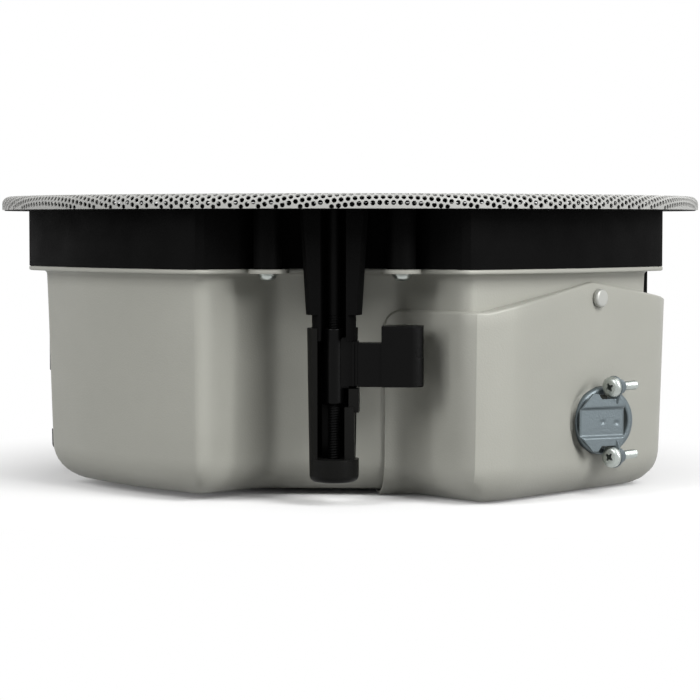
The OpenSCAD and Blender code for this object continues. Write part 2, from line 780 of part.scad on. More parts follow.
// Woofer, hung from the front plate
flange_top = plate_top + basket_t;
cone_edge_r = surround_r - roll_r;
woofer_screw_r = 2;
woofer_pcd_r = (woofer_r + cutout_r) / 2 + 0.2;
shelf_z = flange_top - spider_drop;
motor_z = flange_top - motor_drop;
coil_t = 0.9;
former_t = 0.4;
pole_r = former_r - coil_gap;
plate_bore_r = former_r + former_t + coil_t + coil_gap;

module woofer_screw_places() {
    for (a = [0 : 45 : 315]) rotate(a) translate([0, -woofer_pcd_r, 0]) children();
}

module woofer_basket() {
    bowl_r = cutout_r - 1;
    shelf_in = spider_r - 5;
    floor_r = 40;
    color([0.2, 0.2, 0.21]) difference() {
        rotate_extrude() polygon([
            [woofer_r, plate_top], [woofer_r, flange_top], [surround_r + roll_r - 1, flange_top],
            [surround_r + roll_r - 1 - basket_t, flange_top - 8],
            [spider_r + 3, shelf_z - 3], [shelf_in, shelf_z - 3],
            [floor_r, motor_z + basket_t], [plate_bore_r + 1, motor_z + basket_t],
            [plate_bore_r + 1, motor_z], [floor_r + 1, motor_z],
            [shelf_in + 1, shelf_z - 3 - basket_t], [spider_r + 4.2, shelf_z - 3 - basket_t],
            [surround_r + roll_r, flange_top - 8.6], [bowl_r, plate_top]]);
        for (a = [22.5 : 60 : 360]) rotate(a)
            translate([spider_r + 7, -15, shelf_z + 3]) cube([60, 30, 17]);
        woofer_screw_places() translate([0, 0, plate_top - 1])
            cylinder(r = woofer_screw_r + 0.2, h = basket_t + 2, $fn = 24);
    }
    color([0.2, 0.2, 0.21]) ring(spider_r + 3.4, spider_r - 4.5, shelf_z - 3.5, shelf_z);
}

module woofer_gasket() {
    color([0.12, 0.12, 0.12]) difference() {
        ring(woofer_r, surround_r + roll_r + 0.6, flange_top + 0.02, flange_top + 1.8);
        woofer_screw_places() translate([0, 0, flange_top - 1])
            cylinder(r = 4, h = 5, $fn = 32);
    }
}

module woofer_screws() {
    color([0.12, 0.12, 0.13]) woofer_screw_places() {
        translate([0, 0, flange_top]) mirror([0, 0, 1]) pan_head(3.6, 2.2);
        translate([0, 0, flange_top - 11]) cylinder(r = woofer_screw_r, h = 11.1, $fn = 24);
    }
}

module woofer_surround() {
    t = 0.6;
    z = flange_top + 0.02;
    color([0.1, 0.1, 0.1]) rotate_extrude() {
        difference() {
            translate([surround_r, z]) circle(r = roll_r + t, $fn = 48);
            translate([surround_r, z]) circle(r = roll_r, $fn = 48);
            translate([0, z - 50]) square([200, 50]);
        }
        translate([surround_r + roll_r, z]) square([0.5, t]);
    }
}

cone_top = flange_top - 0.3;
neck_z = cone_top - cone_h;
neck_r = former_r + former_t + 0.1;
module woofer_cone() {
    steps = 8;
    reach = cone_edge_r - 0.3 - neck_r;
    curve = [for (i = [0 : steps]) let (s = i / steps)
             [neck_r + reach * s, neck_z + cone_h * (1 - pow(1 - s, 1.5))]];
    color([0.16, 0.16, 0.17]) rotate_extrude()
        polygon(concat(curve, [for (i = [steps : -1 : 0]) curve[i] - [0, cone_t]]));
}

module woofer_spider() {
    waves = 5;
    amp = 1;
    t = 0.5;
    r0 = former_r + former_t + 0.35;
    step = (spider_r - 3 - r0) / (waves * 2);
    top = concat([[r0, shelf_z + t + 0.4]],
                 [for (i = [1 : waves * 2 - 1]) [r0 + step * i, shelf_z + amp + (i % 2 == 0 ? -amp : amp) + 0.4]],
                 [[spider_r - 3, shelf_z + t + 0.02], [spider_r, shelf_z + t + 0.02]]);
    color([0.75, 0.6, 0.3]) rotate_extrude()
        polygon(concat(top, [for (i = [len(top) - 1 : -1 : 0]) top[i] - [0, t]]));
}

coil_h = 13;
module voice_coil_former() {
    color([0.72, 0.6, 0.35])
        ring(former_r + former_t, former_r, motor_z - pole_t - 4, neck_z + 3);
}

module voice_coil_winding() {
    middle = motor_z - pole_t / 2;
    color([0.7, 0.35, 0.15]) ring(former_r + former_t + coil_t, former_r + former_t + 0.01,
                                  middle - coil_h / 2, middle + coil_h / 2);
}

module top_plate() {
    color([0.5, 0.5, 0.52]) ring(magnet_r - 4, plate_bore_r, motor_z - pole_t, motor_z - 0.02);
}

module ring_magnet() {
    color([0.13, 0.13, 0.14])
        ring(magnet_r, plate_bore_r + 5, motor_z - pole_t - magnet_h, motor_z - pole_t - 0.02);
}

yoke_z = motor_z - pole_t - magnet_h;
module back_plate() {
    color([0.5, 0.5, 0.52]) difference() {
        union() {
            translate([0, 0, yoke_z - pole_t]) cylinder(r = magnet_r - 4, h = pole_t - 0.02);
            translate([0, 0, yoke_z - 1]) cylinder(r = pole_r, h = magnet_h + pole_t + 1);
        }
        translate([0, 0, yoke_z - pole_t - 1]) cylinder(r = post_r + 0.05, h = 60);
    }
}

// Tweeter on its post
housing_bottom = -tweeter_front - tweeter_h;
module tweeter_post() {
    color([0.3, 0.3, 0.32]) difference() {
        translate([0, 0, yoke_z - pole_t])
            cylinder(r = post_r, h = housing_bottom - 8 - yoke_z + pole_t);
        translate([0, 0, yoke_z - pole_t - 1]) cylinder(r = post_r - 1.5, h = 100);
    }
}

module tweeter_housing() {
    dome_seat = -tweeter_front - 5.5;
    color([0.13, 0.13, 0.14]) rotate_extrude() polygon([
        [dome_r + 1.2, dome_seat], [dome_r + 4, -tweeter_front - 3.4],
        [tweeter_r - 4, -tweeter_front - 1], [tweeter_r - 1, -tweeter_front],
        [tweeter_r, -tweeter_front - 0.8], [tweeter_r - 1.5, housing_bottom + 2],
        [tweeter_r - 4, housing_bottom], [16.4, housing_bottom], [16.4, dome_seat - 1.4],
        [dome_r + 1.2, dome_seat - 1.4]]);
}

module tweeter_magnet() {
    cup_r = 16.2;
    color([0.6, 0.6, 0.62]) {
        translate([0, 0, housing_bottom - 8]) cylinder(r = cup_r, h = 11.5);
        translate([0, 0, housing_bottom + 3]) cylinder(r = dome_r - 0.3, h = 1);
    }
}

module tweeter_dome() {
    z = -tweeter_front - 5.4;
    height = 4;
    sphere_r = (dome_r * dome_r + height * height) / (2 * height);
    color([0.55, 0.45, 0.3]) rotate_extrude() {
        difference() {
            intersection() {
                translate([0, z + height - sphere_r]) circle(r = sphere_r, $fn = 120);
                translate([0, z]) square([dome_r, 10]);
            }
            translate([0, z + height - sphere_r - 0.3]) circle(r = sphere_r, $fn = 120);
        }
        translate([dome_r - 0.6, z]) square([1.75, 0.3]);
    }
}

// Crossover board and its parts on the can's floor
board_az = 225;
board_r = emboss_r + emboss_lap + 17;
can_floor = -can_depth + can_t;
board_z = can_floor + spacer_h;
board_t = 1.6;
module at_board() {
    rotate(board_az) translate([0, -board_r, board_z]) children();
}

module board_hole_places() {
    for (sx = [-1, 1]) for (sy = [-1, 1])
        translate([sx * (board_l / 2 - 4), sy * (board_w / 2 - 4), 0]) children();
}

module crossover_board() {
    color([0.1, 0.35, 0.15]) at_board() difference() {
        translate([-board_l / 2, -board_w / 2, 0]) cube([board_l, board_w, board_t]);
        board_hole_places() translate([0, 0, -1]) cylinder(r = 1.7, h = 4, $fn = 24);
    }
}

module board_spacers() {
    color([0.75, 0.75, 0.78]) at_board() board_hole_places() {
        translate([0, 0, -spacer_h]) cylinder(r = 3, h = spacer_h, $fn = 32);
        cylinder(r = 1.6, h = board_t + 0.1, $fn = 24);
        translate([0, 0, board_t + 0.02]) cylinder(r = 2.9, h = 1.6, $fn = 32);
    }
}

module crossover_coils() {
    color([0.7, 0.35, 0.15]) at_board() for (x = [-16, 12])
        translate([x, 0, board_t]) difference() {
            cylinder(r = 13, h = 14);
            translate([0, 0, 3]) cylinder(r = 6, h = 20);
            difference() {
                translate([0, 0, 2]) cylinder(r = 14, h = 10);
                translate([0, 0, 1]) cylinder(r = 11.6, h = 12);
            }
        }
}

module crossover_capacitors() {
    color([0.2, 0.25, 0.55]) at_board()
        for (p = [[-2, -17, 4.5, 12], [-2, 17, 4, 12], [27.5, -12, 2, 7]])
            translate([p[0], p[1], board_t]) {
                cylinder(r = p[2], h = p[3], $fn = 40);
                translate([0, 0, p[3]]) cylinder(r = p[2] - 0.6, h = 0.3, $fn = 40);
            }
}

module crossover_resistors() {
    color([0.85, 0.84, 0.8]) at_board() for (x = [-26, 6])
        translate([x, 15, board_t]) cube([16, 5.2, 5.2]);
}

// Line transformer on its bracket
xfmr_az = 135;
xfmr_r = 92;
module at_transformer() {
    rotate(xfmr_az) translate([0, -xfmr_r, can_floor]) children();
}

bracket_t = 1.2;
window_w = 8;
module transformer_core() {
    leg = (core_w - 2 * window_w) / 4;
    color([0.35, 0.35, 0.37]) at_transformer() translate([0, core_stack / 2, bracket_t])
        rotate([90, 0, 0]) linear_extrude(core_stack) difference() {
            translate([-core_w / 2, 0]) square([core_w, core_h]);
            for (s = [-1, 1]) translate([s * (leg + window_w / 2) - window_w / 2, leg])
                square([window_w, core_h - 2 * leg]);
        }
}

module transformer_coil() {
    leg = (core_w - 2 * window_w) / 4;
    gap = 0.2;
    half = leg + window_w - gap;
    z0 = bracket_t + leg + gap;
    h = core_h - 2 * leg - 2 * gap;
    color([0.85, 0.75, 0.4]) at_transformer() difference() {
        translate([-half, -core_stack / 2 - 7, z0]) cube([2 * half, core_stack + 14, h]);
        translate([-leg - gap, -core_stack / 2 - gap, z0 - 1])
            cube([2 * (leg + gap), core_stack + 2 * gap, h + 2]);
    }
}

module transformer_bracket() {
    foot = 9;
    gap = 0.02;
    color([0.7, 0.7, 0.72]) at_transformer() difference() {
        union() {
            translate([-core_w / 2 - foot, -6, 0]) cube([core_w + 2 * foot, 12, bracket_t - gap]);
            for (s = [-1, 1]) translate([s * (core_w / 2 + bracket_t / 2 + gap) - bracket_t / 2, -6, 0])
                cube([bracket_t, 12, core_h + 2 * bracket_t + gap]);
            translate([-core_w / 2 - bracket_t - gap, -6, core_h + bracket_t + gap])
                cube([core_w + 2 * bracket_t + 2 * gap, 12, bracket_t]);
        }
        for (s = [-1, 1]) translate([s * (core_w / 2 + 5.6), 0, -1]) cylinder(r = 1.9, h = 5, $fn = 24);
    }
}

// Power tap switch on the front plate, under the grille
tap_bush_r = 4.5;
tap_shaft_r = 3;
module at_tap() {
    rotate(tap_az) translate([0, -tap_r, plate_bottom]) children();
}

module tap_switch() {
    body_r = 9;
    color([0.2, 0.2, 0.22]) at_tap() difference() {
        union() {
            translate([0, 0, -9]) cylinder(r = body_r, h = 8.98);
            translate([0, 0, -1]) cylinder(r = tap_bush_r, h = plate_t + 1.6);
            for (a = [0 : 45 : 315]) rotate(a)
                translate([body_r - 2.4, -0.8, -12]) cube([0.8, 1.6, 4]);
        }
        translate([0, 0, -6]) cylinder(r = tap_shaft_r + 0.05, h = 20);
    }
}

module tap_knob() {
    knob_r = 6.5;
    color([0.1, 0.1, 0.1]) at_tap() {
        translate([0, 0, -5.5]) cylinder(r = tap_shaft_r, h = plate_t + 8);
        difference() {
            translate([0, 0, plate_t + 0.95]) cylinder(r = knob_r, h = 3.6);
            translate([-0.7, -knob_r - 1, plate_t + 3.6]) cube([1.4, knob_r, 2]);
            for (a = [0 : 30 : 330]) rotate(a) translate([knob_r + 0.5, 0, plate_t])
                cylinder(r = 1, h = 8, $fn = 16);
        }
    }
}

module clamp_guide_1() { clamp_guide_n(1); }
module clamp_guide_2() { clamp_guide_n(2); }
module clamp_guide_3() { clamp_guide_n(3); }
module clamp_guide_4() { clamp_guide_n(4); }
module clamp_arm_1() { clamp_arm_n(1); }
module clamp_arm_2() { clamp_arm_n(2); }
module clamp_arm_3() { clamp_arm_n(3); }
module clamp_arm_4() { clamp_arm_n(4); }
module clamp_screw_1() { clamp_screw_n(1); }
module clamp_screw_2() { clamp_screw_n(2); }
module clamp_screw_3() { clamp_screw_n(3); }
module clamp_screw_4() { clamp_screw_n(4); }

grille();
grille_cloth();
grille_magnets();
baffle_frame();
clamp_guide_1();
clamp_guide_2();
clamp_guide_3();
clamp_guide_4();
clamp_arm_1();
clamp_arm_2();
clamp_arm_3();
clamp_arm_4();
clamp_screw_1();
clamp_screw_2();
clamp_screw_3();
clamp_screw_4();
back_can();
can_screws();
can_gasket();
wiring_box();
box_rivet();
cable_connector();
connector_locknut();
clamp_strap();
strap_screws();
terminal_block();
woofer_basket();
woofer_gasket();
woofer_surround();
woofer_cone();
woofer_spider();
voice_coil_former();
voice_coil_winding();
top_plate();
ring_magnet();
back_plate();
tweeter_post();
tweeter_housing();
tweeter_dome();
tweeter_magnet();
woofer_screws();
crossover_board();
board_spacers();
crossover_coils();
crossover_capacitors();
crossover_resistors();
transformer_core();
transformer_coil();
transformer_bracket();
tap_switch();
tap_knob();
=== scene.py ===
import bpy
import bmesh
import json
import math
from mathutils import Matrix, Vector


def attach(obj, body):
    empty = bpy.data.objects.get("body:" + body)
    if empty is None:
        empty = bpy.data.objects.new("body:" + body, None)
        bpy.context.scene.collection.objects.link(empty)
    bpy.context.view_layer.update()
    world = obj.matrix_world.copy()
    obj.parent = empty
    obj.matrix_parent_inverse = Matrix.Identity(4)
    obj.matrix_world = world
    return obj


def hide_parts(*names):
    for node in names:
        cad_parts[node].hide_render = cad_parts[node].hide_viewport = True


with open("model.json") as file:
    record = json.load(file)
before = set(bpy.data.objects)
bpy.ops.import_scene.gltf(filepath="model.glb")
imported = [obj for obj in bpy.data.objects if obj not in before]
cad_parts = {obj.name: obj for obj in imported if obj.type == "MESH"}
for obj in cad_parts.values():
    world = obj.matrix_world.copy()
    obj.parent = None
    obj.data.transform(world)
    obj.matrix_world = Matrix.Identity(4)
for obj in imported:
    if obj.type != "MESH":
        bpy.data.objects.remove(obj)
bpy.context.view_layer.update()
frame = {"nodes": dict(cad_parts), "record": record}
nodes = frame["nodes"]
MM = 0.001

# The outline's own numbers, in millimetres and degrees, as in the CAD source: the lobes' arc,
# the recess, the flange, the can's and the box's bottom and draft, and the box's face
LOBE_MID, LOBE_CURVE = 130.5, 230.0
RECESS, HALF_W, SLOPE, BLEND = 99.0, 26.7, 46.8, 8.0
FLANGE, FLANGE_T, CAN_T = -22.8, 1.9, 1.5
CAN_Z, BOX_Z, FILLET, DRAFT = -111.8, -113.8, 15.0, math.tan(math.radians(1.4))
FLANGE_B = FLANGE - FLANGE_T
FACE_AZ, FACE_K, BOX_CORNER = 50.0, 132.2, 139.8
BOX_T = 1.2
CORNER_END, CORNER_R = 14.6, 6.5    # the box's rounded near corner: last angle and drop
BOX_GAP = BOX_T + 0.45
ENTRY = (5.6, -84.2, 27.0)      # across the box face, height, and azimuth of its axis
RIVET = (3.5, -35.0)            # across the box face, and height
TOWER_R = 122.0
CAN_SCREW = (25.9, 118.0)       # off the recess's middle, and out from the speaker's axis


# ---------------------------------------------------------------- outline

def smin(a, b, s):
    h = max(s - abs(a - b), 0) / s
    return min(a, b) - h * h * s / 4


def smax(a, b, s):
    return -smin(-a, -b, s)


def ease(x):
    """0 below 0, 1 above 1, and a smooth step between."""
    x = min(max(x, 0), 1)
    return x * x * (3 - 2 * x)


def folded(a):
    m = a % 90
    return min(m, 90 - m)


def wall_r(a, normal, k):
    """Radius of a flat wall whose normal has that azimuth, k from the axis."""
    c = math.cos(math.radians(a - normal))
    return 1000 if c < 0.08 else k / c


def lobe_r(f, d):
    back, t = LOBE_CURVE - LOBE_MID, math.radians(45 - f)
    return -back * math.cos(t) + math.sqrt((LOBE_CURVE - d) ** 2 - (back * math.sin(t)) ** 2)


def notch_r(f, depth, half_w, slope, d):
    s = math.radians(slope)
    return smax(wall_r(f, 0, depth - d),
                wall_r(f, -slope, depth * math.cos(s) - half_w * math.sin(s) - d), BLEND)


def outline_r(a, d):
    """Radius of the can's outline at azimuth a, drawn in by d."""
    return smin(lobe_r(folded(a), d), notch_r(folded(a), RECESS, HALF_W, SLOPE, d), BLEND)


PANEL_K = RECESS * math.cos(math.radians(SLOPE)) - HALF_W * math.sin(math.radians(SLOPE))


def box_r(a, d):
    """Radius of the wiring box's outline: its face between two slanted sides."""
    face = smin(wall_r(a, FACE_AZ, FACE_K - d), BOX_CORNER - d, 2)
    near = notch_r(a, RECESS, HALF_W, SLOPE, d - BOX_GAP)
    far = wall_r(90 - a, -SLOPE, PANEL_K + 13.4 - d)
    return smin(smin(face, near, 5), far, 5)


def box_top(a):
    """Height of the box's top edge, which peaks at the middle of its face."""
    t = FACE_K * math.tan(math.radians(max(min(a - FACE_AZ, 40), -40)))
    top = max(-39.0, -28.3 - (0.178 if t < 0 else 0.141) * abs(t))
    u = min(max((CORNER_END - a) / 4.0, 0.0), 1.0)
    return top - CORNER_R * (1 - math.sqrt(1 - u * u))


def drafted(z):
    return (FLANGE_B - z) * DRAFT


# ---------------------------------------------------------------- objects

def link(name, data):
    """A new object in the scene."""
    obj = bpy.data.objects.new(name, data)
    bpy.context.scene.collection.objects.link(obj)
    return obj


def edit(mesh, change):
    """Opens a mesh, changes it and writes it back."""
    bm = bmesh.new()
    bm.from_mesh(mesh)
    change(bm)
    bm.to_mesh(mesh)
    bm.free()


def outward(bm):
    bmesh.ops.recalc_face_normals(bm, faces=bm.faces)


def raw_mesh(name, verts, faces):
    """A mesh from points in millimetres."""
    mesh = bpy.data.meshes.new(name)
    mesh.from_pydata([tuple(c * MM for c in v) for v in verts], [], faces)
    return mesh


def make(name, verts, faces, body, material, replaces=(), angle=35, smooth=True):
    mesh = raw_mesh(name, verts, faces)
    mesh.validate()
    return dress(name, mesh, body, material, replaces, angle, smooth)


def dress(name, mesh, body, material, replaces=(), angle=35, smooth=True):
    obj = link(name, mesh)
    if smooth:
        mesh.shade_smooth()
        mesh.set_sharp_from_angle(angle=math.radians(angle))
    mesh.materials.append(material)
    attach(obj, body)
    if replaces:
        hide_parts(*replaces)
    return obj


class Shell:
    """Collects vertices and faces of one mesh, in millimetres."""

    def __init__(self):
        self.verts, self.faces = [], []

    def add(self, verts, faces):
        base = len(self.verts)
        self.verts += [tuple(v) for v in verts]
        self.faces += [tuple(i + base for i in f) for f in faces]

    def grid(self, rows, closed_u=False, closed_v=False):
        """rows of points, skinned in both directions."""
        n, m = len(rows), len(rows[0])
        faces = []
        for i in range(n if closed_u else n - 1):
            for j in range(m if closed_v else m - 1):
                i2, j2 = (i + 1) % n, (j + 1) % m
                faces.append((i * m + j, i * m + j2, i2 * m + j2, i2 * m + j))
        self.add([p for r in rows for p in r], faces)

    def lathe(self, profile, seg=64, place=None, closed=False):
        """Turns [r, z] points round Z, then moves them with place."""
        rows = []
        for i in range(seg):
            a = 2 * math.pi * i / seg
            row = [Vector((r * math.cos(a), r * math.sin(a), z)) for r, z in profile]
            rows.append([tuple(place @ p) if place else tuple(p) for p in row])
        self.grid(rows, closed_u=True, closed_v=closed)

    def prism(self, outline, z0, z1, place=None, bevel=0.0):
        """A plate with a rounded edge, its outline counter-clockwise."""
        n = len(outline)
        inner = inset(outline, bevel) if bevel else outline
        rows = [(inner, z0)]
        if bevel:
            for k in (0.3, 1.0):
                rows.append((inset(outline, bevel * (1 - math.sin(k * math.pi / 2))),
                             z0 + bevel * (1 - math.cos(k * math.pi / 2))))
            for k in (1.0, 0.3):
                rows.append((inset(outline, bevel * (1 - math.sin(k * math.pi / 2))),
                             z1 - bevel * (1 - math.cos(k * math.pi / 2))))
        rows.append((inner, z1))
        pts, faces = [], []
        for pl, z in rows:
            for x, y in pl:
                p = Vector((x, y, z))
                pts.append(tuple(place @ p) if place else tuple(p))
        for k in range(len(rows) - 1):
            for j in range(n):
                j2 = (j + 1) % n
                faces.append((k * n + j, k * n + j2, (k + 1) * n + j2, (k + 1) * n + j))
        faces.append(tuple(range(n - 1, -1, -1)))
        faces.append(tuple((len(rows) - 1) * n + j for j in range(n)))
        self.add(pts, faces)


def inset(outline, d):
    out, n = [], len(outline)
    for i in range(n):
        a, b, c = (Vector(outline[(i + k) % n]) for k in (-1, 0, 1))
        e1, e2 = (b - a).normalized(), (c - b).normalized()
        n1, n2 = Vector((-e1.y, e1.x)), Vector((-e2.y, e2.x))
        s = (n1 + n2).normalized()
        out.append(tuple(b + s * d / max(s.dot(n1), 0.3)))
    return out


def turn_z(deg):
    return Matrix.Rotation(math.radians(deg), 4, "Z")


def shift(x, y, z):
    return Matrix.Translation((x, y, z))


def polar(r, a, z):
    t = math.radians(a)
    return (r * math.sin(t), -r * math.cos(t), z)


# ---------------------------------------------------------------- materials

def wire(tree, kind, **values):
    """A new shader node, its sockets or properties set by name."""
    n = tree.nodes.new(kind)
    for k, v in values.items():
        if k in n.inputs:
            n.inputs[k].default_value = v
        else:
            setattr(n, k, v)
    return n


class Nodes:
    """A small helper that builds one Principled material."""

    def __init__(self, name):
        self.mat = bpy.data.materials.new(name)
        self.mat.use_nodes = True
        self.tree = self.mat.node_tree
        self.bsdf = next(n for n in self.tree.nodes if n.type == "BSDF_PRINCIPLED")
        self.coord = self.node("ShaderNodeTexCoord")

    def node(self, kind, **values):
        return wire(self.tree, kind, **values)

    def link(self, a, b):
        self.tree.links.new(a, b)

    def noise(self, scale, detail=3.0, rough=0.5, stretch=None):
        n = self.node("ShaderNodeTexNoise", Scale=scale, Detail=detail, Roughness=rough)
        source = self.coord.outputs["Object"]
        if stretch:
            m = self.node("ShaderNodeMapping")
            m.inputs["Scale"].default_value = stretch
            self.link(source, m.inputs["Vector"])
            source = m.outputs["Vector"]
        self.link(source, n.inputs["Vector"])
        return n.outputs["Fac"]

    def ramp(self, source, stops):
        r = self.node("ShaderNodeValToRGB")
        while len(r.color_ramp.elements) > len(stops):
            r.color_ramp.elements.remove(r.color_ramp.elements[-1])
        while len(r.color_ramp.elements) < len(stops):
            r.color_ramp.elements.new(0.5)
        for e, (p, c) in zip(r.color_ramp.elements, stops):
            e.position = p
            e.color = (*c, 1) if len(c) == 3 else c
        self.link(source, r.inputs["Fac"])
        return r.outputs["Color"]

    def bump(self, height, strength, distance, normal=None):
        b = self.node("ShaderNodeBump", Strength=strength, Distance=distance)
        self.link(height, b.inputs["Height"])
        if normal is not None:
            self.link(normal, b.inputs["Normal"])
        self.link(b.outputs["Normal"], self.bsdf.inputs["Normal"])
        return b.outputs["Normal"]

    def map_range(self, source, lo, hi, a=0.0, b=1.0):
        m = self.node("ShaderNodeMapRange")
        m.inputs["From Min"].default_value = a
        m.inputs["From Max"].default_value = b
        m.inputs["To Min"].default_value = lo
        m.inputs["To Max"].default_value = hi
        self.link(source, m.inputs["Value"])
        return m.outputs["Result"]

    def set(self, **values):
        for k, v in values.items():
            self.bsdf.inputs[k.replace("_", " ")].default_value = v


def srgb(*c):
    return tuple(x / 12.92 / 255 if x < 10.3 else ((x / 255 + 0.055) / 1.055) ** 2.4 for x in c)


def paint(name, base, rough, peel, peel_scale=900, spread=0.06, metallic=0.0, spec=0.5):
    """Sprayed paint or moulded plastic: orange peel, faint blotches, uneven gloss."""
    m = Nodes(name)
    low = tuple(c * (1 - spread) for c in base)
    high = tuple(min(c * (1 + spread), 1) for c in base)
    blotch = m.noise(22, 4)
    m.link(m.ramp(blotch, [(0.3, low), (0.7, high)]), m.bsdf.inputs["Base Color"])
    m.link(m.map_range(m.noise(60, 3), rough * 0.86, rough * 1.14, 0.3, 0.7),
           m.bsdf.inputs["Roughness"])
    fine = m.bump(m.noise(peel_scale, 2, 0.6), peel, 0.0004)
    m.bump(m.noise(peel_scale / 3, 2), peel * 0.12, 0.0005, fine)
    m.set(Metallic=metallic, Specular_IOR_Level=spec)
    return m.mat


def metal(name, base, rough, stretch=None, spread=0.08, scale=160):
    """Bare or plated metal: drawn grain or a soft mottle."""
    m = Nodes(name)
    grain = m.noise(scale, 5, 0.6, stretch)
    low = tuple(c * (1 - spread) for c in base)
    m.link(m.ramp(grain, [(0.3, low), (0.7, base)]), m.bsdf.inputs["Base Color"])
    m.link(m.map_range(grain, rough * 0.75, rough * 1.3, 0.3, 0.7), m.bsdf.inputs["Roughness"])
    m.bump(grain, 0.12, 0.0003)
    m.set(Metallic=1.0)
    return m.mat


def cloth(name, base, scale, strength=0.5, sheen=0.3, rough=0.85):
    """Woven or pressed fibres: two crossed wave sets and a fibre noise."""
    m = Nodes(name)
    waves = []
    for axis in ("X", "Y"):
        w = m.node("ShaderNodeTexWave", bands_direction=axis, Scale=scale, Distortion=0.6)
        m.link(m.coord.outputs["Object"], w.inputs["Vector"])
        waves.append(w.outputs["Fac"])
    mix = m.node("ShaderNodeMath", operation="MAXIMUM")
    m.link(waves[0], mix.inputs[0])
    m.link(waves[1], mix.inputs[1])
    dark = tuple(c * 0.6 for c in base)
    m.link(m.ramp(mix.outputs[0], [(0.2, dark), (0.9, base)]), m.bsdf.inputs["Base Color"])
    weave = m.bump(mix.outputs[0], strength, 0.0004)
    m.bump(m.noise(1400, 3), 0.25, 0.0003, weave)
    m.set(Roughness=rough, Sheen_Weight=sheen)
    return m.mat


def pulp(name, base):
    """Pressed paper pulp: felted fibres."""
    m = Nodes(name)
    fibre = m.noise(520, 6, 0.7)
    low = tuple(c * 0.75 for c in base)
    m.link(m.ramp(fibre, [(0.3, low), (0.7, base)]), m.bsdf.inputs["Base Color"])
    m.bump(fibre, 0.45, 0.0005)
    m.set(Roughness=0.9)
    return m.mat


def winding(name):
    """Enamelled wire laid in turns."""
    m = Nodes(name)
    w = m.node("ShaderNodeTexWave", bands_direction="Z", Scale=330.0, Distortion=0.4)
    m.link(m.coord.outputs["Object"], w.inputs["Vector"])
    m.link(m.ramp(w.outputs["Fac"], [(0.1, (0.16, 0.05, 0.015)), (0.8, (0.6, 0.24, 0.08))]),
           m.bsdf.inputs["Base Color"])
    m.bump(w.outputs["Fac"], 0.5, 0.0004)
    m.set(Metallic=0.8, Roughness=0.35)
    return m.mat


MAT = {
    "can_paint": paint("can_paint", srgb(162, 162, 154), 0.42, 0.2, 1500, 0.03,
                       metallic=0.1, spec=0.25),
    "grille_steel": paint("grille_steel", srgb(166, 166, 163), 0.5, 0.1, 1500, 0.02),
    "frame_plastic": paint("frame_plastic", srgb(9, 9, 9), 0.6, 0.35, 1800, 0.08,
                           spec=0.03),
    "guide_plastic": paint("guide_plastic", srgb(17, 17, 16), 0.42, 0.2, 1500, 0.08,
                           spec=0.06),
    "arm_plastic": paint("arm_plastic", srgb(5, 5, 5), 0.3, 0.12, 1300, 0.1, spec=0.08),
    # black_steel: the clamp rods' black steel. Its colour and gloss are turned down further as
    # painted shade, so the rods read dark in the shaded slots of the guides
    "black_steel": paint("black_steel", srgb(8, 8, 8), 0.5, 0.1, 2000, 0.1, spec=0.05),
    "grille_cloth": cloth("grille_cloth", srgb(34, 34, 35), 520.0),
    "magnets": metal("magnets", (0.62, 0.62, 0.64), 0.2),
    "zinc_steel": metal("zinc_steel", srgb(178, 184, 180), 0.34, None, 0.12, 240),
    "foam_rubber": paint("foam_rubber", srgb(30, 30, 30), 0.9, 0.6, 1100, 0.15, spec=0.3),
    "rivet_paint": paint("rivet_paint", srgb(176, 177, 172), 0.36, 0.12, 900, 0.03, metallic=0.3),
    "connector_zinc": paint("connector_zinc", srgb(98, 108, 112), 0.36, 0.25, 1100, 0.1,
                            metallic=0.45),
    "terminal_plastic": paint("terminal_plastic", (0.03, 0.14, 0.06), 0.4, 0.15),
    "basket_paint": paint("basket_paint", srgb(52, 52, 54), 0.45, 0.3, 1300, 0.08),
    "cone_pulp": pulp("cone_pulp", srgb(48, 47, 46)),
    "spider_cloth": cloth("spider_cloth", (0.5, 0.33, 0.12), 700.0),
    "former_paper": pulp("former_paper", (0.5, 0.38, 0.2)),
    "copper_wire": winding("copper_wire"),
    "motor_steel": metal("motor_steel", (0.5, 0.5, 0.52), 0.32, (1, 1, 8)),
    "ferrite": paint("ferrite", srgb(48, 48, 50), 0.75, 0.6, 600, 0.15),
    "post_steel": paint("post_steel", srgb(60, 60, 62), 0.4, 0.15, 1200, 0.05, metallic=0.4),
    "housing_plastic": paint("housing_plastic", srgb(32, 32, 33), 0.42, 0.25, 1400, 0.08),
    "dome_silk": cloth("dome_silk", (0.22, 0.15, 0.08), 1100.0, 0.3, 0.5, 0.6),
    "screw_black": paint("screw_black", srgb(32, 32, 33), 0.32, 0.1, 2000, 0.1, metallic=0.6),
    "board_glassfibre": paint("board_glassfibre", (0.02, 0.13, 0.04), 0.35, 0.2, 700, 0.12),
    "capacitor_film": paint("capacitor_film", (0.05, 0.08, 0.3), 0.2, 0.05),
    "resistor_ceramic": paint("resistor_ceramic", (0.7, 0.68, 0.6), 0.8, 0.6, 900, 0.06),
}
for part in frame["record"]["subparts"]:
    obj = nodes[part["node"]]
    obj.data.materials.clear()
    obj.data.materials.append(MAT[part["material_slot"]])


# ---------------------------------------------------------------- back can

def fillet_points(r_at, a, r, extra, floor, steps=10):
    """The rounded bottom edge, from its start on the wall to the floor."""
    top = floor + FILLET
    out = []
    for i in range(steps + 1):
        f = math.pi / 2 * i / steps
        out.append((r_at(a, drafted(top) + extra + r * (1 - math.cos(f))),
                    floor + extra + r * (1 - math.sin(f))))
    return out


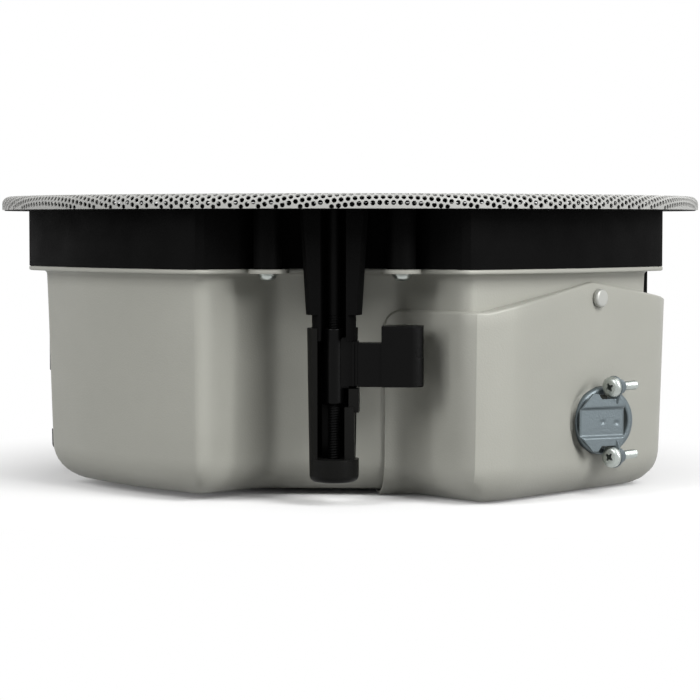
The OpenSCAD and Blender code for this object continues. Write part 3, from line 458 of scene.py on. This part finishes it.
def can_ring(a):
    out = lambda d, z: (outline_r(a, d), z)
    rows = [out(CAN_T + 2, FLANGE), out(-5.5, FLANGE), out(-5.85, FLANGE - 0.2),
            out(-6, FLANGE - 0.6), out(-6, FLANGE_B + 0.6), out(-5.85, FLANGE_B + 0.2),
            out(-5.4, FLANGE_B), out(-1.6, FLANGE_B)]
    for i in range(1, 6):
        f = math.pi / 2 * i / 5
        rows.append(out(-1.6 * (1 - math.sin(f)), FLANGE_B - 1.6 * (1 - math.cos(f))))
    rows += [out(drafted(z), z) for z in (-34.0, -46.0, -58.0, -72.0, -86.0)]
    rows += fillet_points(outline_r, a, FILLET, 0, CAN_Z)
    rows += [(61.5, CAN_Z), (60.9, CAN_Z + 0.12), (60.2, CAN_Z + 0.78), (59.6, CAN_Z + 0.9),
             (30, CAN_Z + 0.9), (1, CAN_Z + 0.9), (1, CAN_Z + CAN_T)]
    inner = fillet_points(outline_r, a, FILLET - CAN_T, CAN_T, CAN_Z, 6)
    rows += inner[::-1]
    rows += [out(CAN_T + drafted(-60), -60.0), out(CAN_T, FLANGE_B - 1.6)]
    return [polar(r, a, z) for r, z in rows]


def outline_angles():
    """Angles of the can's outline, half a degree apart where it bends."""
    half = sorted(set([i * 1.5 for i in range(31)] + [10 + i * 0.5 for i in range(40)]))
    sector = half + [90 - a for a in half[-2:0:-1]]
    return [90 * k + a for k in range(4) for a in sector]


can = Shell()
can.grid([can_ring(a) for a in outline_angles()], closed_u=True, closed_v=True)
back_can = make("can_body", can.verts, can.faces, "speaker", MAT["can_paint"], ["back_can"],
                60)


# ---------------------------------------------------------------- wiring box

entry = (turn_z(FACE_AZ) @ shift(ENTRY[0], -FACE_K, ENTRY[1]) @ turn_z(ENTRY[2] - FACE_AZ)
         @ Matrix.Rotation(math.radians(90), 4, "X"))
out_of_entry = entry.inverted()
entry_axis = (entry @ Vector((0, 0, 1))) - (entry @ Vector((0, 0, 0)))
# The dish: radius of its flat, radius where it ends, height of its flat
DISH_IN, DISH_OUT, DISH_Z = 14.2, 18.0, 0.9


def dish(p, sunk):
    """Presses the box sheet in round the connector, so that its ring stands free."""
    q = out_of_entry @ Vector(p)
    r = math.hypot(q.x, q.y)
    if r > DISH_OUT or abs(q.z) > 14:
        return p
    z = q.z + sunk
    pressed = DISH_Z + max(z - DISH_Z, 0) * ease((r - DISH_IN) / (DISH_OUT - DISH_IN))
    return tuple(Vector(p) + entry_axis * (min(z, pressed) - z))


def box_ring(a):
    top = box_top(a)
    meet = min(outline_r(a, drafted(top)) + 0.3, box_r(a, drafted(top)) - BOX_T - 0.2)
    rows = [(meet, top)]
    for i in range(5):
        f = math.pi / 2 * i / 4
        rows.append((box_r(a, drafted(top) + 1.2 * (1 - math.sin(f))),
                     top - 1.2 * (1 - math.cos(f))))
    walls = [top - 1.2 + (-60.0 - top + 1.2) * i / 4 for i in range(1, 4)]
    walls += [-60 - 1.3 * i for i in range(30)]
    rows += [(box_r(a, drafted(z)), z) for z in walls]
    rows += fillet_points(box_r, a, FILLET, 0, BOX_Z, 14)
    rows += [(80, BOX_Z), (78, BOX_Z + 0.3), (78, BOX_Z + BOX_T)]
    outer = len(rows)
    rows += fillet_points(box_r, a, FILLET - BOX_T, BOX_T, BOX_Z, 5)[::-1]
    rows += [(box_r(a, drafted(z) + BOX_T), z) for z in walls[::-1]]
    rows += [(box_r(a, drafted(top) + BOX_T), top - BOX_T), (meet - 0.05, top - BOX_T)]
    return [dish(polar(r, a, z), BOX_T if i >= outer else 0) for i, (r, z) in enumerate(rows)]


box_start = math.degrees(math.atan(19 / (RECESS + BOX_GAP)))
far_v = RECESS + 2 * BOX_GAP
far_u = (far_v * math.cos(math.radians(SLOPE)) - PANEL_K - 13.4) / math.sin(math.radians(SLOPE))
box_end = 90 - math.degrees(math.atan(far_u / far_v))
# Angles of the box's sections: evenly, closer at the rounded corner and at the dish
inside = sorted([box_start + 0.001]
                + [box_start + (box_end - box_start) * i / 70 for i in range(71)]
                + [box_start + 0.25 + 0.35 * i for i in range(12)]
                + [42 + 0.4 * i for i in range(56)])
inside = [a for i, a in enumerate(inside) if i == 0 or a - inside[i - 1] > 0.08]
box = Shell()
box.grid([box_ring(a) for a in inside], closed_v=True)
m = len(box_ring(40))
box.faces.append(tuple(range(m - 1, -1, -1)))
box.faces.append(tuple((len(inside) - 1) * m + j for j in range(m)))
wiring_box = make("box_body", box.verts, box.faces, "speaker", MAT["can_paint"],
                  ["wiring_box"], 50, False)

def cut(target, cutters):
    """Booleans the cutters out of target and applies the result."""
    for c in cutters:
        mod = target.modifiers.new("cut", "BOOLEAN")
        mod.operation, mod.solver, mod.object = "DIFFERENCE", "EXACT", c
    bpy.context.view_layer.update()
    graph = bpy.context.evaluated_depsgraph_get()
    mesh = bpy.data.meshes.new_from_object(target.evaluated_get(graph))
    target.modifiers.clear()
    target.data = mesh
    for c in cutters:
        bpy.data.objects.remove(c)


def cutter(profile, place, seg=96):
    s = Shell()
    s.lathe(profile, seg, place)
    n, m = seg, len(profile)
    s.faces.append(tuple(i * m for i in range(n)))
    s.faces.append(tuple(i * m + m - 1 for i in range(n - 1, -1, -1)))
    mesh = raw_mesh("cutter", s.verts, s.faces)
    o = link("cutter", mesh)
    edit(mesh, outward)
    return o


cut(wiring_box, [cutter([(13.75, -33), (13.75, 30)], entry)])
wiring_box.data.shade_smooth()
wiring_box.data.set_sharp_from_angle(angle=math.radians(38))


# ---------------------------------------------------------------- grille

G_R, G_SHOULDER, G_CROWN, G_CORNER, G_LIFT, G_T = 150.0, 6.0, 1.2, 3.2, 0.4, 0.6
SHOULDER_R = G_R - G_CORNER
CROWN_R = (SHOULDER_R ** 2 + G_CROWN ** 2) / (2 * G_CROWN)
PITCH, HOLE_R = 2.62, 1.0
ARC = G_CORNER * math.pi / 2
S_MAX = SHOULDER_R + ARC + G_SHOULDER - G_CORNER - G_LIFT


def grille_point(s, inward):
    """(r, z) at arc length s along the sheet, sunk by inward."""
    if s < SHOULDER_R:
        z = G_SHOULDER + G_CROWN - CROWN_R + math.sqrt(CROWN_R ** 2 - s * s)
        return s, z - inward
    if s < SHOULDER_R + ARC:
        t = (s - SHOULDER_R) / G_CORNER
        c = G_CORNER - inward
        return SHOULDER_R + c * math.sin(t), G_SHOULDER - G_CORNER + c * math.cos(t)
    return G_R - inward, G_SHOULDER - G_CORNER - (s - SHOULDER_R - ARC)


def lay(u, v, inward=0.0):
    s = math.hypot(u, v)
    if s > S_MAX:
        u, v, s = u * S_MAX / s, v * S_MAX / s, S_MAX
    r, z = grille_point(s, inward)
    k = r / s if s > 1e-6 else 1.0
    return (u * k, v * k, z)


def grille_sectors(count, sides=8):
    """The perforated sheet, one mesh for each sector of hexagonal cells."""
    turn = math.radians(8.6)            # of the hole pattern, against the recesses
    cells = [Shell() for _ in range(count)]
    reach = int(S_MAX / (PITCH * 0.866)) + 3
    hex_r = PITCH / math.sqrt(3)
    corner = [(hex_r * math.cos(math.radians(30 + 60 * i)),
               hex_r * math.sin(math.radians(30 + 60 * i))) for i in range(6)]
    rim = [(HOLE_R * math.cos(2 * math.pi * (i + 0.5) / sides),
            HOLE_R * math.sin(2 * math.pi * (i + 0.5) / sides)) for i in range(sides)]
    near = [min(range(6), key=lambda k: (corner[k][0] - x) ** 2 + (corner[k][1] - y) ** 2)
            for x, y in rim]
    for j in range(-reach, reach + 1):
        for i in range(-reach, reach + 1):
            cx, cy = PITCH * (i + 0.5 * (j % 2)), PITCH * 0.8660254 * j
            s = math.hypot(cx, cy)
            if s > S_MAX + hex_r:
                continue
            u, v = (cx * math.cos(turn) - cy * math.sin(turn),
                    cx * math.sin(turn) + cy * math.cos(turn))
            shell = cells[int((math.atan2(v, u) + math.pi) / (2 * math.pi) * count) % count]
            rot = lambda p: (u + p[0] * math.cos(turn) - p[1] * math.sin(turn),
                             v + p[0] * math.sin(turn) + p[1] * math.cos(turn))
            outer = [lay(*rot(p)) for p in corner]
            if s > S_MAX - 0.25:
                if len(set(outer)) > 3:
                    shell.add(outer, [(0, 1, 2, 3, 4, 5)])
                continue
            top = [lay(*rot(p)) for p in rim]
            low = [lay(*rot(p), G_T) for p in rim]
            pts = outer + top + low
            faces = []
            for k in range(sides):
                k2 = (k + 1) % sides
                a, b = near[k], near[k2]
                if a == b:
                    faces.append((a, 6 + k2, 6 + k))
                else:
                    faces.append((a, b, 6 + k2, 6 + k))
                faces.append((6 + k, 6 + k2, 6 + sides + k2, 6 + sides + k))
            shell.add(pts, faces)
    return cells


for i, shell in enumerate(grille_sectors(3)):
    mesh = raw_mesh(f"grille_sheet_{i + 1}", shell.verts, shell.faces)
    edit(mesh, lambda bm: bmesh.ops.remove_doubles(bm, verts=bm.verts, dist=2e-6))
    dress(f"grille_sheet_{i + 1}", mesh, "speaker", MAT["grille_steel"],
          ["grille"], 40)

edge = Shell()
edge.lathe([(G_R, G_LIFT + 0.0), (G_R - 0.1, G_LIFT - 0.05), (G_R - G_T + 0.1, G_LIFT - 0.05),
            (G_R - G_T, G_LIFT)], 360)
make("grille_hem", edge.verts, edge.faces, "speaker", MAT["grille_steel"], ["grille"])


# ---------------------------------------------------------------- rounded copies

def rounded(name, node, width, body, slot, segments=2, angle=34, shape=None):
    """A copy of a CAD piece with its moulded or pressed edges rounded."""
    mesh = nodes[node].data.copy()
    mesh.name = name
    mesh.materials.clear()

    def clean(bm):
        bmesh.ops.remove_doubles(bm, verts=bm.verts, dist=1e-6)
        bmesh.ops.dissolve_limit(bm, angle_limit=math.radians(0.6), verts=bm.verts,
                                 edges=bm.edges)
        if shape:
            shape(bm)

    edit(mesh, clean)
    obj = dress(name, mesh, body, MAT[slot], [node], angle)
    mod = obj.modifiers.new("round", "BEVEL")
    mod.width, mod.segments = width * MM, segments
    mod.limit_method, mod.angle_limit = "ANGLE", math.radians(angle)
    mod.harden_normals = True
    return obj


rounded("frame_moulding", "baffle_frame", 0.35, "speaker", "frame_plastic")

GUIDE_END = 105.7
CUP_TRIM, CUP_ROUND = 1.1, 2.4


def round_cup(bm):
    """Takes a little off the closed end of a guide and rounds its edge."""
    low = -GUIDE_END * MM
    end = [v for v in bm.verts if abs(v.co.z - low) < 1e-5]
    for v in end:
        v.co.z += CUP_TRIM * MM
    rim = [e for e in bm.edges if all(v in end for v in e.verts) and len(e.link_faces) == 2
           and e.calc_face_angle(0) > 0.7]
    bmesh.ops.bevel(bm, geom=rim, offset=CUP_ROUND * MM, segments=6, profile=0.5, affect="EDGES")


def tower_place(k):
    return (turn_z(90 * k) @ shift(0, -TOWER_R, 0) @ Matrix.Diagonal((1, -1, 1, 1)))


def clamp_arm(place):
    """Collar, recessed block, two ribs, web and pad, each with rounded edges."""
    sh = Shell()
    collar = [(4.1, -45.9), (4.0, -45.65), (3.75, -45.5), (2.56, -45.5), (2.56, -74.4),
              (3.75, -74.4), (4.0, -74.25), (4.1, -74.0)]
    sh.lathe(collar, 48, place, closed=True)
    for x0, x1, y0, y1, z0, z1, bevel in (
            (2.7, 7.6, -3.4, 3.0, -68.4, -48.8, 0.9),       # recessed block
            (7.0, 9.6, -3.8, 3.7, -67.6, -50.4, 0.25),      # ground of the ribs
            (7.25, 7.9, -3.6, 4.9, -67.5, -50.5, 0.2),      # two ribs
            (8.45, 9.1, -3.6, 4.9, -67.5, -50.5, 0.2),
            (9.2, 20, -4.2, 4.4, -67.8, -50.9, 0.35)):      # web
        sh.prism([(x0, y0), (x1, y0), (x1, y1), (x0, y1)], z0, z1, place, bevel)
    pad = [(18.4, -8), (21.4, -9), (31.4, -9), (34.4, -6), (34.4, 1.2), (34.25, 2.2),
           (33.8, 2.95), (33.1, 3.5), (30.6, 4.85), (30.0, 5), (18.4, 5)]
    sh.prism(pad, -67.88, -44.45, place, 0.35)
    return sh


for k in range(1, 5):
    rounded(f"guide_{k}", f"clamp_guide_{k}", 0.4, "speaker", "guide_plastic", shape=round_cup)
    place = tower_place(k - 1)
    sh = Shell()
    sh.prism([(-4.9, -8.4), (-1.9, -8.4), (-1.9, -3.3), (-4.9, -3.3)], -95.9, -75, place, 0.3)
    rib = make(f"guide_rib_{k}", sh.verts, sh.faces, "speaker", MAT["guide_plastic"],
               [f"clamp_guide_{k}"])
    edit(rib.data, outward)
    sh = clamp_arm(place)
    arm = make(f"arm_{k}_moulding", sh.verts, sh.faces, f"arm_{k}", MAT["arm_plastic"],
               [f"clamp_arm_{k}"], 18)
    edit(arm.data, outward)


# ---------------------------------------------------------------- screws

def thread(shell, r, pitch, z0, z1, place, depth=0.35, seg=28):
    """A shank with a real helical thread and a short point."""
    n = max(int((z1 - z0) / pitch * 6), 8)
    rows = []
    for i in range(seg + 1):
        a = 2 * math.pi * i / seg
        row = [place @ Vector((0, 0, z0))]
        for j in range(n + 1):
            z = z0 + (z1 - z0) * j / n
            w = ((z - z0) / pitch - i / seg) % 1
            crest = 1 - abs(2 * w - 1) * 1.25
            rr = r - depth * (1 - max(min(crest, 0.9), 0))
            if z - z0 < 0.8:
                rr -= 0.6 * (1 - (z - z0) / 0.8)
            row.append(place @ Vector((rr * math.cos(a), rr * math.sin(a), z)))
        rows.append([tuple(p) for p in row])
    shell.grid(rows)


def pan_head(shell, r, h, place, z0=0.0):
    """A pan head whose seat is at z0 and whose crown is above it."""
    profile = [(0.3, z0), (r - 0.15, z0), (r, z0 + 0.18)]
    for i in range(9):
        f = math.pi / 2 * i / 8
        profile.append((r * (0.55 + 0.45 * math.cos(f)), z0 + 0.3 * h + 0.62 * h * math.sin(f)))
    profile += [(r * 0.3, z0 + h * 0.985), (0.0, z0 + h)]
    shell.lathe(profile, 48, place)


def cross(place, r, depth, top):
    """The four-winged recess of a cross screw, as a cutter."""
    w, l = r * 0.12, r * 0.52
    outline = [(l, -w * 0.7), (l, w * 0.7), (w * 1.5, w * 1.5), (w * 0.7, l), (-w * 0.7, l),
               (-w * 1.5, w * 1.5), (-l, w * 0.7), (-l, -w * 0.7), (-w * 1.5, -w * 1.5),
               (-w * 0.7, -l), (w * 0.7, -l), (w * 1.5, -w * 1.5)]
    low = [(x * 0.55, y * 0.55) for x, y in outline]
    n = len(outline)
    pts = [tuple(place @ Vector((x, y, top - depth))) for x, y in low]
    pts += [tuple(place @ Vector((x, y, top + 1))) for x, y in outline]
    faces = [tuple(range(n - 1, -1, -1)), tuple(range(n, 2 * n))]
    faces += [(j, (j + 1) % n, n + (j + 1) % n, n + j) for j in range(n)]
    return link("cross", raw_mesh("cross", pts, faces))


def screws(name, places, head_r, head_h, shank_r, length, pitch, node, body, slot, spin):
    """Cross screws with threads. Each place has +Z out of the head."""
    heads, shanks = Shell(), Shell()
    cutters = []
    for i, place in enumerate(places):
        place = place @ turn_z(spin + 23 * i)
        pan_head(heads, head_r, head_h, place)
        thread(shanks, shank_r, pitch, -length, 0.0, place)
        cutters.append(cross(place, head_r, head_h * 0.62, head_h))
    obj = make(name, heads.verts, heads.faces, body, MAT[slot], [node], 40, False)
    cut(obj, cutters)
    obj.data.shade_smooth()
    obj.data.set_sharp_from_angle(angle=math.radians(40))
    make(name + "_threads", shanks.verts, shanks.faces, body, MAT[slot], [node], 60)
    return obj


def tilted(x, y, z, turn):
    return entry @ shift(x, y, z) @ Matrix.Rotation(math.radians(-turn), 4, "Y")


def ear_place(side):
    """Where a strap screw sits, in the entry's own frame, tipped to the side."""
    return tilted(STRAP_X, side * STRAP_Y, STRAP_Z, STRAP_TIP)


STRAP_X, STRAP_Y, STRAP_Z, STRAP_TIP = 0.8, 13.9, 7.4, 63.0
strap_places = [ear_place(s) @ shift(0, 0, -0.35) for s in (1, -1)]
screws("strap_heads", strap_places, 4.25, 2.7, 1.85, 17.1, 0.9, "strap_screws", "speaker",
       "zinc_steel", 30)

can_places = [turn_z(90 * k) @ shift(s * CAN_SCREW[0], -CAN_SCREW[1], FLANGE_B)
              @ Matrix.Rotation(math.pi, 4, "X") for k in range(4) for s in (-1, 1)]
screws("flange_heads", [p @ shift(0, 0, 0.05) for p in can_places], 3.3, 2.6, 1.9, 11, 0.9,
       "can_screws", "speaker", "zinc_steel", 12)

tabs = Shell()
for place in can_places:
    tabs.lathe([(2.2, -FLANGE_T + 0.1), (7.0, -FLANGE_T + 0.1), (7.45, -FLANGE_T + 0.4),
                (7.5, -0.5), (7.35, -0.15), (7.0, -0.02), (2.2, -0.02)], 56, place)
    outline = [(-7.4, -13), (7.4, -13), (7.4, 0), (-7.4, 0)]
    tabs.prism(outline, -FLANGE_T + 0.12, -0.1, place)
make("flange_tabs", tabs.verts, tabs.faces, "speaker", MAT["can_paint"], ["back_can"],
     40)

rings = Shell()
for place in can_places:
    rings.lathe([(2.0, 0.0), (3.7, 0.0), (3.85, 0.12), (3.85, 0.5), (3.6, 0.72), (2.0, 0.85)], 40,
                place, closed=True)
make("flange_washers", rings.verts, rings.faces, "speaker", MAT["zinc_steel"], ["can_screws"],
     40)

for k in range(4):
    place = turn_z(90 * k) @ shift(0, -TOWER_R, 0)
    rod = Shell()
    thread(rod, 2.5, 1.0, -102.5, -40, place, 0.4)
    rod.lathe([(2.4, -40.2), (2.5, -40), (2.5, 2.4), (0, 2.4)], 32, place)
    top = place @ shift(0, 0, 2.4)
    pan_head(rod, 4.6, 2.3, top)
    obj = make(f"clamp_rod_{k + 1}", rod.verts, rod.faces, f"screw_{k + 1}",
               MAT["black_steel"], [f"clamp_screw_{k + 1}"], 60)
    cut(obj, [cross(top, 4.6, 1.5, 2.3)])


# ---------------------------------------------------------------- connector

ring = Shell()
ring.lathe([(10.5, -16.4), (10.5, 1.7), (10.62, 2.15), (10.95, 2.48), (11.4, 2.6), (12.2, 2.6),
            (12.85, 2.42), (13.32, 1.95), (13.55, 1.3), (13.6, 0.5), (13.6, -12.9),
            (11.2, -13), (11.2, -16.4)], 128, entry, closed=True)
for s in (-1, 1):
    ring.lathe([(1.9, -6), (2.7, -6), (3.0, -5.6), (3.0, -2.2), (2.8, -1.8), (1.9, -1.7)], 40,
               ear_place(s), closed=True)
    x, y = STRAP_X + 3.8, s * (STRAP_Y - 1.4)
    ring.prism([(x - 1.8, y - 1.4), (x + 1.8, y - 1.4), (x + 1.8, y + 1.4), (x - 1.8, y + 1.4)],
               0.5, STRAP_Z - 1.6, entry, 0.4)
make("connector_ring", ring.verts, ring.faces, "speaker", MAT["connector_zinc"],
     ["cable_connector"], 32)


def strap_plate():
    """The octagonal plate: a flat middle, two creases and two raised ends."""
    base, rise, t, half = 6.5, 1.1, 1.0, 11.5
    left, right, cut_x = -14.0, 6.0, 5.4
    dimples = ((-3.6, 0.2, 0.35), (2.6, -0.3, 0.45))    # x, y and depth

    def height(y):
        return base + rise * ease((abs(y) - 5.0) / 1.4)

    def span(y):
        a = abs(y)
        lo = left if a < 5.5 else left + (a - 5.5) / 6.0 * cut_x
        if a > 9.3:
            hi = -4.5 - (a - 9.3) / 2.2 * 1.5
        else:
            hi = right - (max(a - 7.3, 0) / 2.0) * 1.0
        return lo, hi

    ys = sorted(set([round(-half + i * 23 / 92, 3) for i in range(93)]
                    + [-9.3, 9.3, -9.32, 9.32, -7.3, 7.3, -5.5, 5.5]))
    rows_top, rows_low = [], []
    steps = 40
    for y in ys:
        lo, hi = span(y)
        top, low = [], []
        for i in range(steps + 1):
            x = lo + (hi - lo) * i / steps
            z = height(y)
            for dx, dy, depth in dimples:
                q = ((x - dx) ** 2 + (y - dy) ** 2) / 0.9 ** 2
                z -= 0 if q > 4 else depth * math.exp(-q * 1.6)
            edge = min(x - lo, hi - x, half - abs(y), 0.3) / 0.3
            z_top = z + t - 0.25 * (1 - math.sqrt(max(1 - (1 - edge) ** 2, 0)))
            top.append(tuple(entry @ Vector((x, y, z_top))))
            low.append(tuple(entry @ Vector((x, y, z))))
        rows_top.append(top)
        rows_low.append(low)
    sh = Shell()
    sh.grid(rows_top)
    sh.grid([r[::-1] for r in rows_low])
    n = len(ys)
    sh.grid([rows_low[0], rows_top[0]])
    sh.grid([rows_top[-1], rows_low[-1]])
    sh.grid([[r[0] for r in rows_top], [r[0] for r in rows_low]])
    sh.grid([[r[-1] for r in rows_low], [r[-1] for r in rows_top]])
    for s in (1, -1):
        ear = ear_place(s)
        sh.lathe([(1.9, -1.4), (4.1, -1.4), (4.45, -1.2), (4.5, -0.9), (4.4, -0.55), (4.1, -0.4),
                  (1.9, -0.4)], 48, ear, closed=True)
        sh.prism([(-2.2, -6.6 * s), (2.2, -6.6 * s), (3.6, -2 * s), (-3.6, -2 * s)][::s],
                 -1.38, -0.42, ear, 0.2)
    return sh


plate = strap_plate()
make("strap_plate", plate.verts, plate.faces, "speaker", MAT["connector_zinc"],
     ["clamp_strap"], 34)

rivet = Shell()
at_rivet = (turn_z(FACE_AZ) @ shift(RIVET[0], -FACE_K + drafted(RIVET[1]), RIVET[1])
            @ Matrix.Rotation(math.radians(90), 4, "X"))
rivet.lathe([(1.5, -1.3), (1.5, 0.1), (3.4, 0.1), (3.7, 0.35), (3.72, 1.3), (3.6, 1.9),
             (3.25, 2.32), (2.7, 2.5), (1.4, 2.5), (0, 2.5)], 64, at_rivet)
make("plug_button", rivet.verts, rivet.faces, "speaker", MAT["rivet_paint"], ["box_rivet"],
     60)


# ---------------------------------------------------------------- stage

SEEN_RAYS = ("Is Camera Ray", "Is Glossy Ray", "Is Transmission Ray")
FLOOR_DIFFUSE, FLOOR_SEEN = 0.3, 0.95       # albedo for bounced light, and for the eye
FADE_START, FADE_END = 0.13, 0.26           # metres from the middle, shadow to plain white
WORLD_LIGHT = 0.14                          # strength of the world as a light


def seen_rays(tree, names):
    """1 on the named kinds of ray, else 0."""
    path = tree.nodes.new("ShaderNodeLightPath")
    out = path.outputs[names[0]]
    for name in names[1:]:
        m = wire(tree, "ShaderNodeMath", operation="MAXIMUM")
        tree.links.new(out, m.inputs[0])
        tree.links.new(path.outputs[name], m.inputs[1])
        out = m.outputs[0]
    return out


def floor_material():
    """A pale floor that keeps the shadow near the object and fades to white."""
    mat = bpy.data.materials.new("floor_pale")
    mat.use_nodes = True
    t = mat.node_tree
    bsdf = next(n for n in t.nodes if n.type == "BSDF_PRINCIPLED")
    out = next(n for n in t.nodes if n.type == "OUTPUT_MATERIAL")
    seen = seen_rays(t, SEEN_RAYS)
    mix = wire(t, "ShaderNodeMix", data_type="RGBA")
    mix.inputs["A"].default_value = (FLOOR_DIFFUSE,) * 3 + (1,)
    mix.inputs["B"].default_value = (FLOOR_SEEN,) * 3 + (1,)
    t.links.new(seen, mix.inputs["Factor"])
    t.links.new(mix.outputs["Result"], bsdf.inputs["Base Color"])
    bsdf.inputs["Roughness"].default_value = 0.9
    bsdf.inputs["Specular IOR Level"].default_value = 0.05
    glow = wire(t, "ShaderNodeEmission", Strength=1.0)
    glow.inputs["Color"].default_value = (1, 1, 1, 1)
    coord = t.nodes.new("ShaderNodeTexCoord")
    length = wire(t, "ShaderNodeVectorMath", operation="LENGTH")
    t.links.new(coord.outputs["Object"], length.inputs[0])
    fade = wire(t, "ShaderNodeMapRange", interpolation_type="SMOOTHSTEP")
    fade.inputs["From Min"].default_value = FADE_START
    fade.inputs["From Max"].default_value = FADE_END
    t.links.new(length.outputs["Value"], fade.inputs["Value"])
    both = wire(t, "ShaderNodeMath", operation="MULTIPLY")
    t.links.new(fade.outputs["Result"], both.inputs[0])
    t.links.new(seen, both.inputs[1])
    blend = t.nodes.new("ShaderNodeMixShader")
    t.links.new(both.outputs[0], blend.inputs["Fac"])
    t.links.new(bsdf.outputs[0], blend.inputs[1])
    t.links.new(glow.outputs[0], blend.inputs[2])
    t.links.new(blend.outputs[0], out.inputs["Surface"])
    return mat


FLOOR_HALF = 6.0
FLOOR_Z = BOX_Z * MM - 0.0002
floor_mesh = bpy.data.meshes.new("floor")
floor_mesh.from_pydata([(x * FLOOR_HALF, y * FLOOR_HALF, FLOOR_Z)
                        for x, y in ((-1, -1), (1, -1), (1, 1), (-1, 1))], [], [(0, 1, 2, 3)])
floor = link("floor", floor_mesh)
floor_mesh.materials.append(floor_material())

world = bpy.data.worlds.new("studio")
bpy.context.scene.world = world
world.use_nodes = True
t = world.node_tree
bg = next(n for n in t.nodes if n.type == "BACKGROUND")
world_out = next(n for n in t.nodes if n.type == "OUTPUT_WORLD")
bg.inputs["Color"].default_value = (1, 1, 1, 1)
bg.inputs["Strength"].default_value = WORLD_LIGHT
white = wire(t, "ShaderNodeBackground", Strength=1.0)
white.inputs["Color"].default_value = (1, 1, 1, 1)
mixer = t.nodes.new("ShaderNodeMixShader")
t.links.new(seen_rays(t, SEEN_RAYS), mixer.inputs["Fac"])
t.links.new(bg.outputs[0], mixer.inputs[1])
t.links.new(white.outputs[0], mixer.inputs[2])
t.links.new(mixer.outputs[0], world_out.inputs["Surface"])


TARGET = Vector((0, 0, -0.05))


def area(name, az, el, dist, size, power):
    """A soft box that faces the speaker, placed by azimuth, height angle and distance."""
    light = bpy.data.lights.new(name, "AREA")
    light.shape = "RECTANGLE"
    light.size, light.size_y = size
    light.energy = power
    o = link(name, light)
    a, e = math.radians(az), math.radians(el)
    pos = Vector((math.sin(a) * math.cos(e), -math.cos(a) * math.cos(e), math.sin(e))) * dist
    o.location = pos + TARGET
    o.rotation_euler = (TARGET - o.location).to_track_quat("-Z", "Y").to_euler()


area("key", 45, 33, 1.6, (0.7, 0.8), 21)
area("side", -42, 32, 1.7, (0.7, 0.8), 12)
area("strip", 57, 12, 1.5, (0.16, 0.66), 4)
area("strip_left", -56, 12, 1.5, (0.16, 0.66), 3)
area("top", 0, 82, 1.6, (1.5, 1.5), 7)
area("back", 160, 30, 1.8, (1.5, 1.0), 8)

camera = bpy.data.cameras.new("camera")
camera.lens = 118.3
camera.sensor_width = 36
camera.clip_start = 0.01
cam = link("camera", camera)
cam.location = (0.0508, -1.0037, -0.0043)
cam.rotation_euler = (math.radians(90 - 3.21), 0, math.radians(2.9))
bpy.context.scene.camera = cam
bpy.context.scene.view_settings.view_transform = "Standard"
